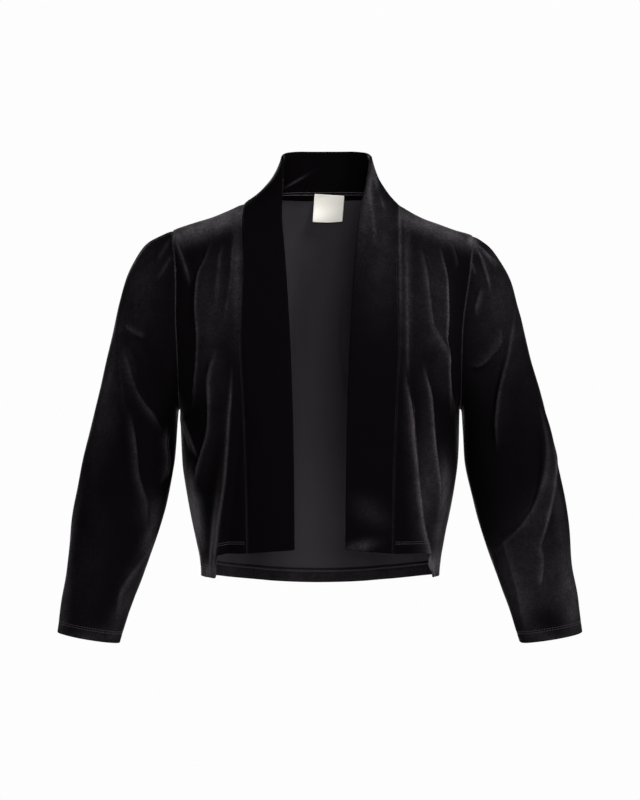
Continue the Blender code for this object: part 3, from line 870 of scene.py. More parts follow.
@dataclass
class Sleeves:
    """The two three-quarter sleeves, each with a seam under the arm."""

    rings: tuple[Ring, ...] = (
        Ring(181, -18, 170.5, -229, 64, 8),
        Ring(206, -32, 172.8, -231, 65, 8),
        Ring(221, -51, 173.6, -235, 65, 8),
        Ring(233, -74, 173.8, -240, 63, 7),
        Ring(242, -105, 174, -247, 60, 6),
        Ring(250, -137, 174.4, -257, 57, 5),
        Ring(268, -205, 176.3, -288, 54, 2),
        Ring(289, -292, 187.5, -345, 52, -2),
        Ring(302, -362, 203, -396, 50, -7),
        Ring(307, -422, 220, -445, 46, -15),
        Ring(313, -457, 230.5, -473, 42, -20),
        Ring(318, -498, 242, -511, 38, -26),
    )
    cap_blend: float = 0.35
    plain_rings: int = 150
    even_over: float = 0.12
    seam_fade: float = 3.0

    def grid(self, front: Array, back: Array, form: WornForm) -> Array:
        """A sleeve's points on the wearer's left, from its underarm seam round by the back.

        Args:
            front: Points of the front's armhole, from the shoulder down to the underarm.
            back: Points of the back's armhole, likewise.
            form: The worn form.

        Returns:
            The points, in rings from the armhole to the cuff.
        """
        armhole = np.concatenate([back[::-1], front[1:]])
        turn = np.arccos(np.clip(1 - 2 * form.down_arm(armhole[:, 2]), -1, 1))
        turn[: len(back)] *= -1
        outer = np.array([[ring.outer_x, 0, ring.outer_z] for ring in self.rings], float)
        length = lengths_along(outer)
        at = curves_of(self.rings, length / length[-1])

        def ring_points(place: float) -> Array:
            """Points of the plain ring at a place along the sleeve."""
            outer_end = np.array([at["outer_x"](place), at["middle"](place), at["outer_z"](place)])
            inner_end = np.array([at["inner_x"](place), at["middle"](place), at["inner_z"](place)])
            deep = np.array([0, -at["half_depth"](place), 0])
            across = np.outer(np.cos(turn), (outer_end - inner_end) / 2)
            return (outer_end + inner_end) / 2 + across + np.outer(np.sin(turn), deep)

        own_shape = armhole - ring_points(0)
        places = HEM.shares(length[-1], self.plain_rings)
        grid = np.stack([ring_points(p) + own_shape * smooth_step(1 - p / self.cap_blend) for p in places])
        return evened(grid, smooth_step(places / self.even_over))

    def cut(self, bodice: Bodice, panels: dict[str, Panel]) -> dict[str, Panel]:
        """Cuts the sleeves to the armholes.

        Args:
            bodice: The bodice.
            panels: Its panels.

        Returns:
            The panels by their nodes' names.
        """
        rows = slice(0, bodice.armhole_rows + 1)
        front, back = (panels[node].points[rows, -1] for node in ("front_left", "back"))
        grid = self.grid(front, back, bodice.form)
        made = {}
        for side in Side:
            node = "sleeve_" + side.name.lower()
            points = grid * [side.value, 1, 1]
            made[node] = Panel("velvet_" + node, node, points, -side.value, BODY_BORDERS)
            made[node].seam_fade = self.seam_fade
        return made


class CollarEdge(NamedTuple):
    """The band's free edge at the back, by its place from -1 at the centre back to 0."""

    along: float
    height: float
    angle: float


class BandEdge(NamedTuple):
    """The band's free edge at the front, by its place from 0 at the neck point to 1 at the hem."""

    along: float
    height: float
    x: float


@dataclass
class Band:
    """The doubled band, from one front hem round the back of the neck to the other."""

    form: WornForm
    collar: tuple[CollarEdge, ...] = (
        CollarEdge(-1, 91, 180),
        CollarEdge(-0.66, 90.5, 150),
        CollarEdge(-0.33, 88, 120),
        CollarEdge(0, 81, 86),
    )
    front: tuple[BandEdge, ...] = (
        BandEdge(0, 81, 55),
        BandEdge(0.06, 67, 53.5),
        BandEdge(0.12, 44, 51),
        BandEdge(0.19, 10, 47),
        BandEdge(0.28, -40, 42),
        BandEdge(0.38, -96, 38),
        BandEdge(0.5, -160, 34.5),
        BandEdge(0.75, -278, 31),
        BandEdge(1, -395.5, 30),
    )
    columns: int = 26
    wall: float = 3.0

    def strip(self, seam: Array, edge_angle: Array, edge_height: Array) -> Array:
        """Rows across the band from a stretch of its seam to its free edge.

        Args:
            seam: Points of the seam.
            edge_angle: Degrees round the form at which the free edge lies.
            edge_height: The free edge's heights.

        Returns:
            The points, on the form all the way.
        """
        across = np.linspace(0, 1, self.columns + 1)
        angle = self.form.angle_of(seam)[:, None] * (1 - across) + edge_angle[:, None] * across
        height = seam[:, 2:] * (1 - across) + edge_height[:, None] * across
        made = self.form.round_form(angle, height)
        made[:, 0] = seam
        return made

    def collar_strip(self, seam: Array) -> Array:
        """The stand round the back of the neck, from the centre back to the neck point."""
        length = lengths_along(seam)
        along, edge = length / length[-1] - 1, curves_of(self.collar)
        return self.strip(seam, edge["angle"](along), edge["height"](along))

    def front_strip(self, seam: Array) -> Array:
        """The length down one front, from the neck point to the hem."""
        length = lengths_along(seam)
        along, edge = length / length[-1], curves_of(self.front)
        height = edge["height"](along)
        free = self.form.on_form(edge["x"](along), height, Facing.FRONT)
        return self.strip(seam, self.form.angle_of(free), height)

    def cut(self, bodice: Bodice, panels: dict[str, Panel]) -> dict[str, Panel]:
        """Cuts the band to the fronts and the back neck.

        Args:
            bodice: The bodice.
            panels: Its panels.

        Returns:
            The band by its node's name.
        """
        centre = bodice.shoulder_columns + bodice.neck_columns
        neck = panels["back"].points[0, centre : centre + bodice.neck_columns + 1]
        stand = self.collar_strip(neck)[:-1]
        halves = {}
        for side in Side:
            seam = panels["front_" + side.name.lower()].points[:, 0] * [side.value, 1, 1]
            halves[side] = np.concatenate([stand, self.front_strip(seam)]) * [side.value, 1, 1]
        points = np.concatenate([halves[Side.RIGHT][:0:-1], halves[Side.LEFT]])
        plain = {"hemmed": False, "wall": self.wall, "turn_up_nap": 0.0}
        return {"band": Panel("velvet_band", "band", points, -1, BAND_BORDERS, **plain)}


@dataclass(frozen=True)
class Crease:
    """A soft ridge whose crest is a path seen from the front, or from the back on the back.

    Its foot is inner mm wide to the path's right and outer mm wide to its left, which is towards
    the side on a path that runs down. It leans over to the left by lean mm, and to the right where
    that is negative. Its pile carries a painted highlight of strength glow at the crest and for soft
    mm down its gentle side.
    """

    region: Region
    side: Side
    height: float
    inner: float
    outer: float
    lean: float
    glow: float
    soft: float
    path: tuple[Spot, ...]
    taper: float = 0.25
    samples: int = 28
    glow_edge: float = 1.1
    glow_spread: float = 0.14
    margin: float = 2.0

    def line(self) -> tuple[Array, Array]:
        """The path where the ridge lies on the flat cloth, and the directions to its left.

        Returns:
            A smooth line of points, and a direction for each step between them.
        """
        spots = np.array(self.path, float)
        length = lengths_along(spots)
        at = np.linspace(0, length[-1], self.samples)
        crest = np.stack([Curve(length, spots[:, i])(at) for i in range(2)], axis=1)
        ahead = unit(np.gradient(crest, axis=0))
        line = crest - self.lean * np.stack([-ahead[:, 1], ahead[:, 0]], axis=1)
        steps = unit(np.diff(line, axis=0))
        return line, np.stack([-steps[:, 1], steps[:, 0]], axis=1)

    def lift(self, x: Array, z: Array) -> tuple[Array, Array, Array]:
        """How the crease moves the cloth and where it paints a highlight.

        Args:
            x: Distances of points from the centre, outwards on the crease's side.
            z: Their heights.

        Returns:
            How far each point rises, how far it leans in x and z, and its painted highlight.
        """
        line, lefts = self.line()
        steps = np.diff(line, axis=0)
        size = np.linalg.norm(steps, axis=1)
        start = np.concatenate([[0.0], np.cumsum(size)])
        rise, shift, glow = np.zeros(x.shape), np.zeros((*x.shape, 2)), np.zeros(x.shape)
        reach = max(self.inner, self.outer) + self.margin
        low, high = line.min(axis=0) - reach, line.max(axis=0) + reach
        near = (x > low[0]) & (x < high[0]) & (z > low[1]) & (z < high[1])
        spots = np.stack([x[near], z[near]], axis=-1)[:, None]
        share = np.clip(((spots - line[:-1]) * steps).sum(-1) / size**2, 0, 1)
        away = spots - line[:-1] - steps * share[..., None]
        pick = np.argmin((away**2).sum(-1), axis=1)
        rows = np.arange(len(pick))
        offset, left = away[rows, pick], lefts[pick]
        off = np.copysign(np.linalg.norm(offset, axis=1), (offset * left).sum(-1))
        run = (start[pick] + share[rows, pick] * size[pick]) / start[-1]
        ends = smooth_step(run / self.taper) * smooth_step((1 - run) / self.taper)
        foot = np.where(off < 0, self.inner, self.outer)
        ridge = 0.5 * (1 + np.cos(np.pi * np.clip(off / foot, -1, 1))) * ends
        rise[near] = self.height * ridge
        shift[near] = self.lean * ridge[:, None] * left
        # The painted highlight: sharp at the crest, soft down the gentle side, and faint over the ridge
        away_from_steep = off * (-1 if self.lean >= 0 else 1)
        width = np.where(away_from_steep > 0, self.soft, self.glow_edge)
        broad = self.glow_spread * ridge * smooth_step(away_from_steep / self.glow_edge + 1)
        glow[near] = self.glow * (np.exp(-((off / width) ** 2)) * ends + broad)
        return rise, shift, glow


# The rows of each stretch: height, inner, outer, lean, glow (strength of a painted highlight), soft and
# path of a crease
CREASES: dict[tuple[Region, Side], list[tuple]] = {
    (Region.FRONT, Side.RIGHT): [
        (4, 8, 12, -3, 0.6, 2, [(177, -14), (164, -44), (152, -80)]),
        (7, 28, 9, 6, 0.45, 2, [
            (137, -20), (140, -49), (146, -72), (148, -105), (145, -142), (146, -174), (152, -208),
            (163, -232),
        ]),
        (1.5, 11, 9, 1, 0.2, 2, [(118, -28), (120, -60), (124, -110)]),
        (1.5, 9, 12, 1, 0.15, 2, [(104, -16), (107, -72), (116, -135)]),
        (8, 16, 9, 6, 0.6, 2, [(128, -150), (130, -206), (131, -245), (141, -286), (161, -342)]),
        (10, 12, 14, -4, 0.8, 2, [(100, -168), (103, -245), (107.5, -308), (114.5, -368), (121, -470)]),
        (4, 10, 9, -4, 0.8, 2, [(164, -230), (152, -258), (142, -286)]),
    ],
    (Region.FRONT, Side.LEFT): [
        (8, 20, 8, 6, 0.9, 1.6, [
            (150, -26), (151.5, -82), (151.5, -119), (149.5, -151), (153, -188), (166, -240),
        ]),
        (4, 18, 9, 3, 0.45, 3, [
            (124, -28), (126, -50), (130.5, -102), (133, -128), (138, -145), (147, -168), (153, -192),
        ]),
        (1.3, 5, 6, 1, 0.3, 2, [(104, -20), (104, -110), (105, -200)]),
        (7, 14, 9, 5, 0.9, 2, [(128, -168), (131, -218), (134, -254), (139, -294), (149, -368)]),
        (10, 12, 13, 6, 1.1, 2.4, [
            (106, -170), (107, -218), (108.5, -254), (113, -299), (121.5, -372), (130, -404),
            (140, -470),
        ]),
        (3, 8, 8, 2, 0.18, 2, [(158, -24), (167, -60)]),
    ],
    (Region.BACK, Side.RIGHT): [
        (4, 8, 12, -3, 0.7, 2, [(172, -32), (160, -62), (148, -98)]),
        (6, 22, 22, 0, 0.4, 5, [(60, -150), (72, -290), (84, -480)]),
        (6, 18, 10, 4, 0.9, 3, [(128, -90), (122, -190), (112, -300)]),
        (3, 14, 9, 2, 0.6, 3, [(24, -40), (30, -110), (26, -190)]),
        (6, 14, 9, 5, 0.8, 2, [(138, -246), (141, -310), (146, -392)]),
        (3, 12, 10, 2, 0.5, 3, [(100, -330), (112, -380), (118, -480)]),
    ],
    (Region.BACK, Side.LEFT): [
        (3.5, 8, 11, -3, 0.7, 2, [(170, -44), (156, -78), (146, -124)]),
        (6, 22, 22, 0, 0.4, 5, [(52, -170), (66, -300), (78, -480)]),
        (6, 18, 10, 4, 0.9, 3, [(130, -90), (124, -180), (116, -280)]),
        (3, 9, 14, -2, 0.6, 3, [(34, -60), (28, -140), (36, -220)]),
        (6, 14, 9, 5, 0.8, 2, [(136, -262), (138, -330), (142, -410)]),
        (3, 10, 12, -2, 0.5, 3, [(112, -310), (118, -370), (124, -480)]),
    ],
    (Region.SLEEVE_FRONT, Side.RIGHT): [
        (3, 6, 9, -2, 0.16, 3, [(176, -42), (186, -60), (196, -76)]),
        (2.5, 5, 7, -2, 0.16, 3, [(178, -20), (187, -38), (194, -52)]),
        (3, 6, 5, 2, 0.6, 1.6, [(238, -127), (226, -135), (210, -143)]),
        (6, 9, 18, -4, 0.25, 4, [(234, -146), (227, -175), (220, -204), (202, -234), (184, -256)]),
        (6, 9, 14, -4, 0.3, 4, [
            (225, -224), (223.5, -250), (221, -278), (219.5, -302), (211, -338), (204, -376),
        ]),
        (4, 8, 9, -3, 0.5, 2, [(180, -246), (186, -268), (184, -290), (190, -322)]),
        (4, 15, 9, 3, 0.42, 3, [(198, -366), (214, -402), (232, -428), (244, -452), (249, -488)]),
        (2, 14, 14, 1, 0.07, 2, [(243, -105), (241, -171), (236, -240)]),
        (2.5, 20, 24, 0, 0.0, 10, [(282, -330), (262, -372), (238, -392)]),
    ],
    (Region.SLEEVE_FRONT, Side.LEFT): [
        (2, 6, 9, -1, 0.6, 1, [(186, -28), (198, -41), (216, -59)]),
        (3.5, 6, 9, -2, 0.7, 1.3, [(184, -28), (195, -52), (204, -90)]),
        (2, 5, 6, 1, 0.3, 1.6, [(183, -50), (188, -68)]),
        (3, 6, 8, -2, 0.4, 3, [(194, -80), (190, -93), (184, -116)]),
        (4, 10, 8, 4, 0.24, 3.5, [(221, -128), (217, -145), (206, -163), (192, -176), (176, -180)]),
        (6, 9, 20, -4, 0.32, 2, [(235, -96), (229, -120), (221.5, -168), (213.5, -215), (209, -285)]),
        (8, 9, 24, -6, 0.3, 2.5, [
            (256, -212), (262, -250), (265, -284), (264, -303), (258, -336), (242, -368), (222, -386),
            (196, -402),
        ]),
        (4, 12, 8, 4, 0.8, 1.6, [
            (280, -262), (283, -294), (282, -316), (277, -349), (270, -377), (265, -404),
        ]),
        (4, 9, 14, -3, 0.28, 4, [(220, -380), (233.5, -430), (240.5, -458), (245.5, -500)]),
        (3, 10, 7, 2, 0.4, 3, [(262, -386), (267, -412), (264, -446)]),
    ],
    (Region.SLEEVE_BACK, Side.RIGHT): [
        (6, 9, 20, -4, 0.7, 5, [(240, -150), (224, -230), (200, -290)]),
        (7, 9, 22, -5, 0.7, 5, [(276, -330), (252, -372), (226, -404)]),
        (3, 6, 9, -2, 0.7, 2, [(184, -30), (198, -44), (212, -66)]),
        (4, 10, 14, -3, 0.5, 4, [(206, -340), (224, -384), (240, -440)]),
    ],
    (Region.SLEEVE_BACK, Side.LEFT): [
        (6, 9, 20, -4, 0.7, 5, [(238, -140), (226, -226), (202, -296)]),
        (7, 9, 20, -5, 0.7, 5, [(280, -322), (256, -368), (222, -400)]),
        (3, 6, 9, -2, 0.7, 2, [(184, -30), (196, -48), (206, -76)]),
        (4, 9, 13, -3, 0.5, 4, [(200, -330), (220, -380), (236, -430)]),
    ],
}
FLIPPED_CORNER = (3, 16, 18, -20, 1.0, 3, [(109, -396), (109, -410), (112, -429)])
CORNER_TAPER = 0.5
BACK_GLOW_EDGE = 2.4


def creases() -> list[Crease]:
    """The garment's creases.

    Returns:
        Those of the fronts and sleeves as shown, and like ones on the back.
    """

    def crease(region: Region, side: Side, row: tuple, **more: float) -> Crease:
        """Makes the crease of a row."""
        *sizes, path = row
        return Crease(region, side, *sizes, tuple(Spot(*place) for place in path), **more)

    made = []
    for (region, side), rows in CREASES.items():
        behind = region in (Region.BACK, Region.SLEEVE_BACK)
        more = {"glow_edge": BACK_GLOW_EDGE} if behind else {}
        made += [crease(region, side, row, **more) for row in rows]
    return [*made, crease(Region.FRONT, Side.LEFT, FLIPPED_CORNER, taper=CORNER_TAPER)]


class PaintedSheenAndNapPatch(NamedTuple):
    """A soft patch of painted sheen, or shade where negative, partly the lie of the pile; by x and z."""

    node: str
    x: float
    z: float
    wide: float
    tall: float
    turn: float
    strength: float
    inside: bool = False
    facing: Facing = Facing.FRONT

    def over(self, panel: Panel, inside: bool) -> Array:
        """How much painted sheen or shade the patch puts on a panel's pile.

        Args:
            panel: A panel.
            inside: Whether its inner face is asked for.

        Returns:
            The opening at its points, where that face is turned to the patch's side.
        """
        if (panel.node, inside) != (self.node, self.inside):
            return np.zeros(panel.points.shape[:2])
        x, z = panel.points[..., 0] - self.x, panel.points[..., 2] - self.z
        cos, sin = math.cos(math.radians(self.turn)), math.sin(math.radians(self.turn))
        across, along = x * cos + z * sin, z * cos - x * sin
        outwards = -self.facing.value if inside else self.facing.value
        facing = smooth_step(FACING_GAIN * outwards * panel.normals[..., 1] + 0.5)
        return self.strength * facing * np.exp(-((across / self.wide) ** 2) - (along / self.tall) ** 2)


# The rows of each panel's face, by the side it is turned to and whether it is the inner one:
# x, z, wide, tall, turn and strength of a patch of painted sheen, painted shade where negative
PAINTED_SHEEN_AND_NAP_ROWS: dict[tuple[str, Facing, bool], list[tuple[float, ...]]] = {
    ("front_right", Facing.FRONT, False): [
        (-135, -3, 55, 13, 21, 1.75),
        (-178, -14, 6, 10, 0, 0.9),
        (-120, -110, 24, 60, 0, 0.14),
        (-99, -60, 5, 60, 0, 0.4),
        (-153, -350, 8, 38, 10, 3.6),
        (-126, -385, 4.5, 45, -5, 1.4),
        (-134, -424, 14, 11, 0, 1.5),
    ],
    ("front_left", Facing.FRONT, False): [
        (138, -7, 55, 12, -21, 1.2),
        (184, -22, 4, 8, 0, 1.5),
        (128, -95, 24, 75, 0, 0.16),
        (104, -75, 5, 75, 0, 0.35),
        (96, -40, 2, 75, 0, 0.7),
        (126, -330, 12, 60, 0, 0.4),
        (150, -328, 8, 32, 0, 1.3),
        (136, -416, 11, 14, 0, 1.8),
        (144, -385, 7, 32, 0, 0.9),
    ],
    ("band", Facing.FRONT, False): [
        (57, 22, 8, 50, -9, 0.35),
        (62, 52, 3, 22, -9, 0.8),
        (67.5, 52, 2.2, 14, 8, 0.9),
        (61, 24, 2.2, 14, 8, 0.6),
        (75.5, 22, 1.8, 9, 15, 0.5),
        (65, -9, 2, 15, 5, 0.5),
        (74, 0, 20, 40, 0, 0.19),
        (72, -60, 26, 60, 0, 0.16),
        (48, -391, 16, 6, 12, 0.6),
        (60, -350, 20, 12, -35, 0.2),
    ],
    ("band", Facing.FRONT, True): [
        (-32, 54, 14, 1.2, 30, 0.65),
    ],
    ("sleeve_right", Facing.FRONT, False): [
        (-226, -70, 30, 80, 0, 0.2),
        (-255, -180, 6, 50, -13, 0.35),
        (-304, -385, 6, 60, -9, 0.6),
        (-205, -352, 14, 22, 0, 0.14),
        (-204, -374, 7, 28, -15, 0.5),
        (-262, -230, 18, 80, -14, 0.22),
        (-232, -465, 12, 50, -20, 0.35),
        (-313, -470, 8, 55, -7, 0.8),
        (-284, -420, 26, 80, -8, 0.07),
        (-280, -504, 40, 9, 8, 0.3),
    ],
    ("sleeve_left", Facing.FRONT, False): [
        (188, -27, 4, 8, 0, 1.2),
        (204, -42, 1.2, 14, 51, 1.2),
        (218, -90, 34, 75, 0, 0.22),
        (252, -190, 24, 80, 14, 0.04),
        (262, -345, 12, 45, -25, 0.12),
        (288, -345, 8, 45, 8, 0.25),
        (266, -430, 44, 60, 20, 0.26),
        (236, -450, 14, 50, 20, 0.25),
        (304, -450, 13, 55, 5, 0.55),
        (273, -480, 22, 16, -10, -0.1),
        (285, -506, 40, 9, -8, 0.3),
    ],
    ("back", Facing.BACK, False): [
        (-135, -3, 55, 13, 21, 1.2),
        (138, -7, 55, 12, -21, 1.2),
        (-92, -120, 40, 80, 0, 0.24),
        (98, -110, 36, 75, 0, 0.26),
        (-118, -375, 16, 50, -5, 0.6),
        (124, -385, 14, 44, 5, 0.65),
    ],
    ("sleeve_right", Facing.BACK, False): [
        (-228, -80, 30, 80, 0, 0.22),
        (-266, -250, 18, 80, -14, 0.2),
        (-258, -440, 16, 55, -16, 0.3),
    ],
    ("sleeve_left", Facing.BACK, False): [
        (224, -84, 32, 75, 0, 0.22),
        (262, -240, 20, 80, 14, 0.2),
        (262, -446, 20, 50, 16, 0.3),
    ],
}
PAINTED_SHEEN_AND_NAP_PATCHES = tuple(
    PaintedSheenAndNapPatch(node, *row, inside=inside, facing=facing)
    for (node, facing, inside), rows in PAINTED_SHEEN_AND_NAP_ROWS.items()
    for row in rows
)


@dataclass
class Drape:
    """How the cut panels hang: creases, gathers in the sleeve heads, an uneven surface, and painted sheen
    on the pile.
    """

    form: WornForm
    gathers: int = 4
    gather_pitch: float = 12.5
    gather_height: float = 1.6
    gather_reach: float = 90.0
    gather_rise: float = 6.0
    # Painted highlights along the seams: their strength on the bodice and band, on the sleeves, and their
    # width
    seam_glow: float = 0.12
    armhole_glow: float = 0.6
    seam_glow_width: float = 0.8
    seam_dip: float = 0.7
    seam_dip_width: float = 3.5
    head_fill: float = 1.9
    head_x: float = 150.0
    head_width: float = 20.0
    head_low: float = -60.0
    head_height: float = 40.0
    stitch_dip: float = 0.35
    ripple_height: float = 0.12
    ripple_waves: int = 14
    ripple_lengths: tuple[float, float] = (26.0, 90.0)
    seed: int = 11

    def ripple(self, points: Array) -> Array:
        """A slight unevenness of the cloth.

        Args:
            points: Points of a panel.

        Returns:
            How far each one rises.
        """
        random = np.random.default_rng(self.seed)
        total = np.zeros(points.shape[:-1])
        for _ in range(self.ripple_waves):
            way = unit(random.normal(size=3) * [1, 1, 0.5])
            length = random.uniform(*self.ripple_lengths)
            phase = random.uniform(0, 2 * math.pi)
            total += np.sin(points @ way * 2 * math.pi / length + phase)
        return total * self.ripple_height

    def gathered(self, panel: Panel) -> Array:
        """The tucks eased into a sleeve head.

        Args:
            panel: A sleeve.

        Returns:
            How far its points rise.
        """
        top = panel.points[0]
        along = lengths_along(top)
        from_top = np.abs(along - along[np.argmax(top[:, 2])])
        tuck = 0.5 - 0.5 * np.cos(2 * np.pi * from_top / self.gather_pitch)
        tuck = np.where(from_top < self.gathers * self.gather_pitch, tuck, 0)
        down = lengths_along(panel.points)
        run = smooth_step(down / self.gather_rise) * (1 - smooth_step(down / self.gather_reach))
        return self.gather_height * run * tuck

    def weights(self, panel: Panel) -> dict[tuple[Region, Side], Array]:
        """Where the creases of each region show on a panel.

        Args:
            panel: A panel with its normals.

        Returns:
            Weights from 0 to 1 by region and side.
        """
        x, facing = panel.points[..., 0], panel.normals[..., 1]
        found = {}
        for side in Side:
            own = (np.sign(x) == side.value).astype(float)
            if panel.node == "back":
                found[Region.BACK, side] = own
            elif panel.node == "front_" + side.name.lower():
                found[Region.FRONT, side] = own
            elif panel.node == "sleeve_" + side.name.lower():
                found[Region.SLEEVE_FRONT, side] = smooth_step(-FACING_GAIN * facing)
                found[Region.SLEEVE_BACK, side] = smooth_step(FACING_GAIN * facing)
        return found

    def settle(self, panels: dict[str, Panel]) -> None:
        """Drapes all the panels.

        Args:
            panels: The cut panels.
        """
        every = list(panels.values())
        for panel in every:
            panel.points = self.form.hang(panel.points)
        share_normals(every)
        moves = [self.moved(panel) for panel in every]
        for panel, move in zip(every, moves):
            panel.points = panel.points + move
        share_normals(every)

    def moved(self, panel: Panel) -> Array:
        """How far the drape moves a panel's points; it also sets the painted sheen and shade on its pile.

        Args:
            panel: A panel with its normals.

        Returns:
            The move of every point.
        """
        x, z = np.abs(panel.points[..., 0]), panel.points[..., 2]
        distance = panel.seam_distance()
        fade = smooth_step(distance / panel.seam_fade)
        rise, lean = np.zeros(x.shape), np.zeros((*x.shape, 3))
        # Painted sheen and shade from the patches, on both faces
        panel.nap, panel.inner_nap = (
            sum(sheen_and_nap_patch.over(panel, inside) for sheen_and_nap_patch in PAINTED_SHEEN_AND_NAP_PATCHES) for inside in (False, True)
        )
        # A painted highlight along every seam, stronger on the sleeves
        glow = self.armhole_glow if panel.node.startswith("sleeve") else self.seam_glow
        panel.nap = panel.nap + glow * np.exp(-((distance / self.seam_glow_width) ** 2))
        weights = self.weights(panel)
        for crease in creases():
            weight = weights.get((crease.region, crease.side))
            if weight is None:
                continue
            lifted, shifted, glow = crease.lift(x, z)
            # The crease's painted highlight, faded near the seams
            panel.nap = panel.nap + glow * weight * fade
            rise += lifted * weight * fade
            lean[..., 0] += shifted[..., 0] * crease.side.value * weight * fade
            lean[..., 2] += shifted[..., 1] * weight * fade
        rise += self.ripple(panel.points) * fade
        if panel.node.startswith("sleeve"):
            rise += self.gathered(panel)
        by_head = smooth_step((x - self.head_x) / self.head_width)
        by_head = self.head_fill * by_head * smooth_step((z - self.head_low) / self.head_height)
        rise -= self.seam_dip * (1 - by_head) * np.exp(-((distance / self.seam_dip_width) ** 2))
        if panel.hemmed:
            for row in HEM.stitched:
                rise[HEM.row_at(row)] -= self.stitch_dip
        along = (lean * panel.normals).sum(-1, keepdims=True) * panel.normals
        return rise[..., None] * panel.normals + lean - along


def linear(colour: str) -> tuple[float, float, float, float]:
    """Turns an sRGB hex colour to linear.

    Args:
        colour: The colour as #rrggbb.

    Returns:
        Linear red, green and blue, and an alpha of 1.
    """
    values = [int(colour[i : i + 2], 16) / 255 for i in (1, 3, 5)]
    made = [v / 12.92 if v <= 0.04045 else ((v + 0.055) / 1.055) ** 2.4 for v in values]
    return (made[0], made[1], made[2], 1.0)


def add_node(
    tree: bpy.types.NodeTree,
    kind: str,
    settings: dict[str | int, object] | None = None,
    links: dict[str | int, bpy.types.NodeSocket] | None = None,
) -> bpy.types.Node:
    """Adds a node with its settings and links.

    Args:
        tree: The tree that it goes in.
        kind: The node's type.
        settings: Values of its inputs, by name or number, and of its properties.
        links: The outputs that feed its inputs.

    Returns:
        The node.
    """
    node = tree.nodes.new(kind)
    for key, value in (settings or {}).items():
        if isinstance(key, int) or key in node.inputs:
            node.inputs[key].default_value = value
        else:
            setattr(node, key, value)
    for key, source in (links or {}).items():
        tree.links.new(source, node.inputs[key])
    return node


def wave_scale(pitch: float) -> float:
    """Scale of a wave texture whose bands lie a pitch in mm apart."""
    return math.pi / (10 * pitch * MM)


class Surface:
    """A material in the making, with its node tree and its surface shader."""

    def __init__(self, name: str) -> None:
        """Starts a material under the real one's name."""
        self.material = bpy.data.materials.new(name)
        self.material.use_nodes = True
        self.tree = self.material.node_tree
        self.shader = self.tree.nodes["Principled BSDF"]

    def output(
        self,
        name: str | int,
        kind: str,
        settings: dict[str | int, object] | None = None,
        links: dict[str | int, bpy.types.NodeSocket] | None = None,
    ) -> bpy.types.NodeSocket:
        """Adds a node and gives its output of a name or number."""
        return add_node(self.tree, kind, settings, links).outputs[name]

    def colour(self, low: str, high: str, share: bpy.types.NodeSocket) -> None:
        """Colours the surface between two tones.

        Args:
            low: The tone where the share is 0.
            high: The tone where the share is 1.
            share: The share of the high tone.
        """
        tones = {"data_type": "RGBA", 6: linear(low), 7: linear(high)}
        mixed = self.output(2, "ShaderNodeMix", tones, {0: share})
        self.tree.links.new(mixed, self.shader.inputs["Base Color"])

    def relief(self, height: bpy.types.NodeSocket, strength: float, depth: float) -> None:
        """Gives the surface a relief.

        Args:
            height: Its height, from 0 to 1.
            strength: How far it shows.
            depth: Its depth in mm.
        """
        sizes = {"Strength": strength, "Distance": depth * MM}
        bump = self.output("Normal", "ShaderNodeBump", sizes, {"Height": height})
        self.tree.links.new(bump, self.shader.inputs["Normal"])

    def finished(self, inputs: dict[str, object]) -> bpy.types.Material:
        """Sets other inputs of the shader.

        Args:
            inputs: Their values by name.

        Returns:
            The material.
        """
        for name, value in inputs.items():
            self.shader.inputs[name].default_value = value
        return self.material


class Mottle(NamedTuple):
    """A noise in the pile: its size in mm, its detail, and the shades that it spans."""

    size: float
    detail: float
    roughness: float
    low: float
    high: float


@dataclass(frozen=True)
class StretchVelvet:
    """Black polyester velvet on a knit ground: it drinks light face on and glows at its edges."""

    deep: str = "#060506"
    # Tone towards which the painted sheen lightens the pile
    brushed: str = "#4a464a"
    roughness: float = 0.9
    specular: float = 0.0
    sheen: float = 0.1
    sheen_roughness: float = 0.2
    sheen_tint: str = "#f2ecf2"
    patches: Mottle = Mottle(24.0, 4.0, 0.65, 0.2, 0.46)
    pile: Mottle = Mottle(2.6, 2.0, 0.7, 0.55, 1.45)
    noise_low: float = 0.3
    noise_high: float = 0.7
    pile_strength: float = 0.5
    pile_height: float = 0.35

    def build(self) -> bpy.types.Material:
        """Makes the material: the mesh's painted sheen, patches and a fine pile, drawn coarse enough to
        show.
        """
        surface = Surface("black_stretch_velvet")
        place = surface.output("Object", "ShaderNodeTexCoord")
        nap = surface.output("Fac", "ShaderNodeAttribute", {"attribute_name": PAINTED_SHEEN_AND_NAP_NAME})
        noises, shades = [], []
        for mottle in (self.patches, self.pile):
            grain = {"Scale": 1 / (mottle.size * MM)}
            grain |= {"Detail": mottle.detail, "Roughness": mottle.roughness}
            noises.append(surface.output("Fac", "ShaderNodeTexNoise", grain, {"Vector": place}))
            span = {"From Min": self.noise_low, "From Max": self.noise_high}
            span |= {"To Min": mottle.low, "To Max": mottle.high}
            shades.append(surface.output("Result", "ShaderNodeMapRange", span, {"Value": noises[-1]}))
        times = {"operation": "MULTIPLY"}
        uneven = surface.output(0, "ShaderNodeMath", times, dict(enumerate(shades)))
        # How far the painted sheen lightens the pile, broken up by the two noises
        painted_sheen_share = surface.output(0, "ShaderNodeMath", times | {"use_clamp": True}, {0: nap, 1: uneven})
        surface.colour(self.deep, self.brushed, painted_sheen_share)
        surface.relief(noises[-1], self.pile_strength, self.pile_height)
        return surface.finished({
            "Roughness": self.roughness,
            "Specular IOR Level": self.specular,
            "Sheen Weight": self.sheen,
            "Sheen Roughness": self.sheen_roughness,
            "Sheen Tint": linear(self.sheen_tint),
        })


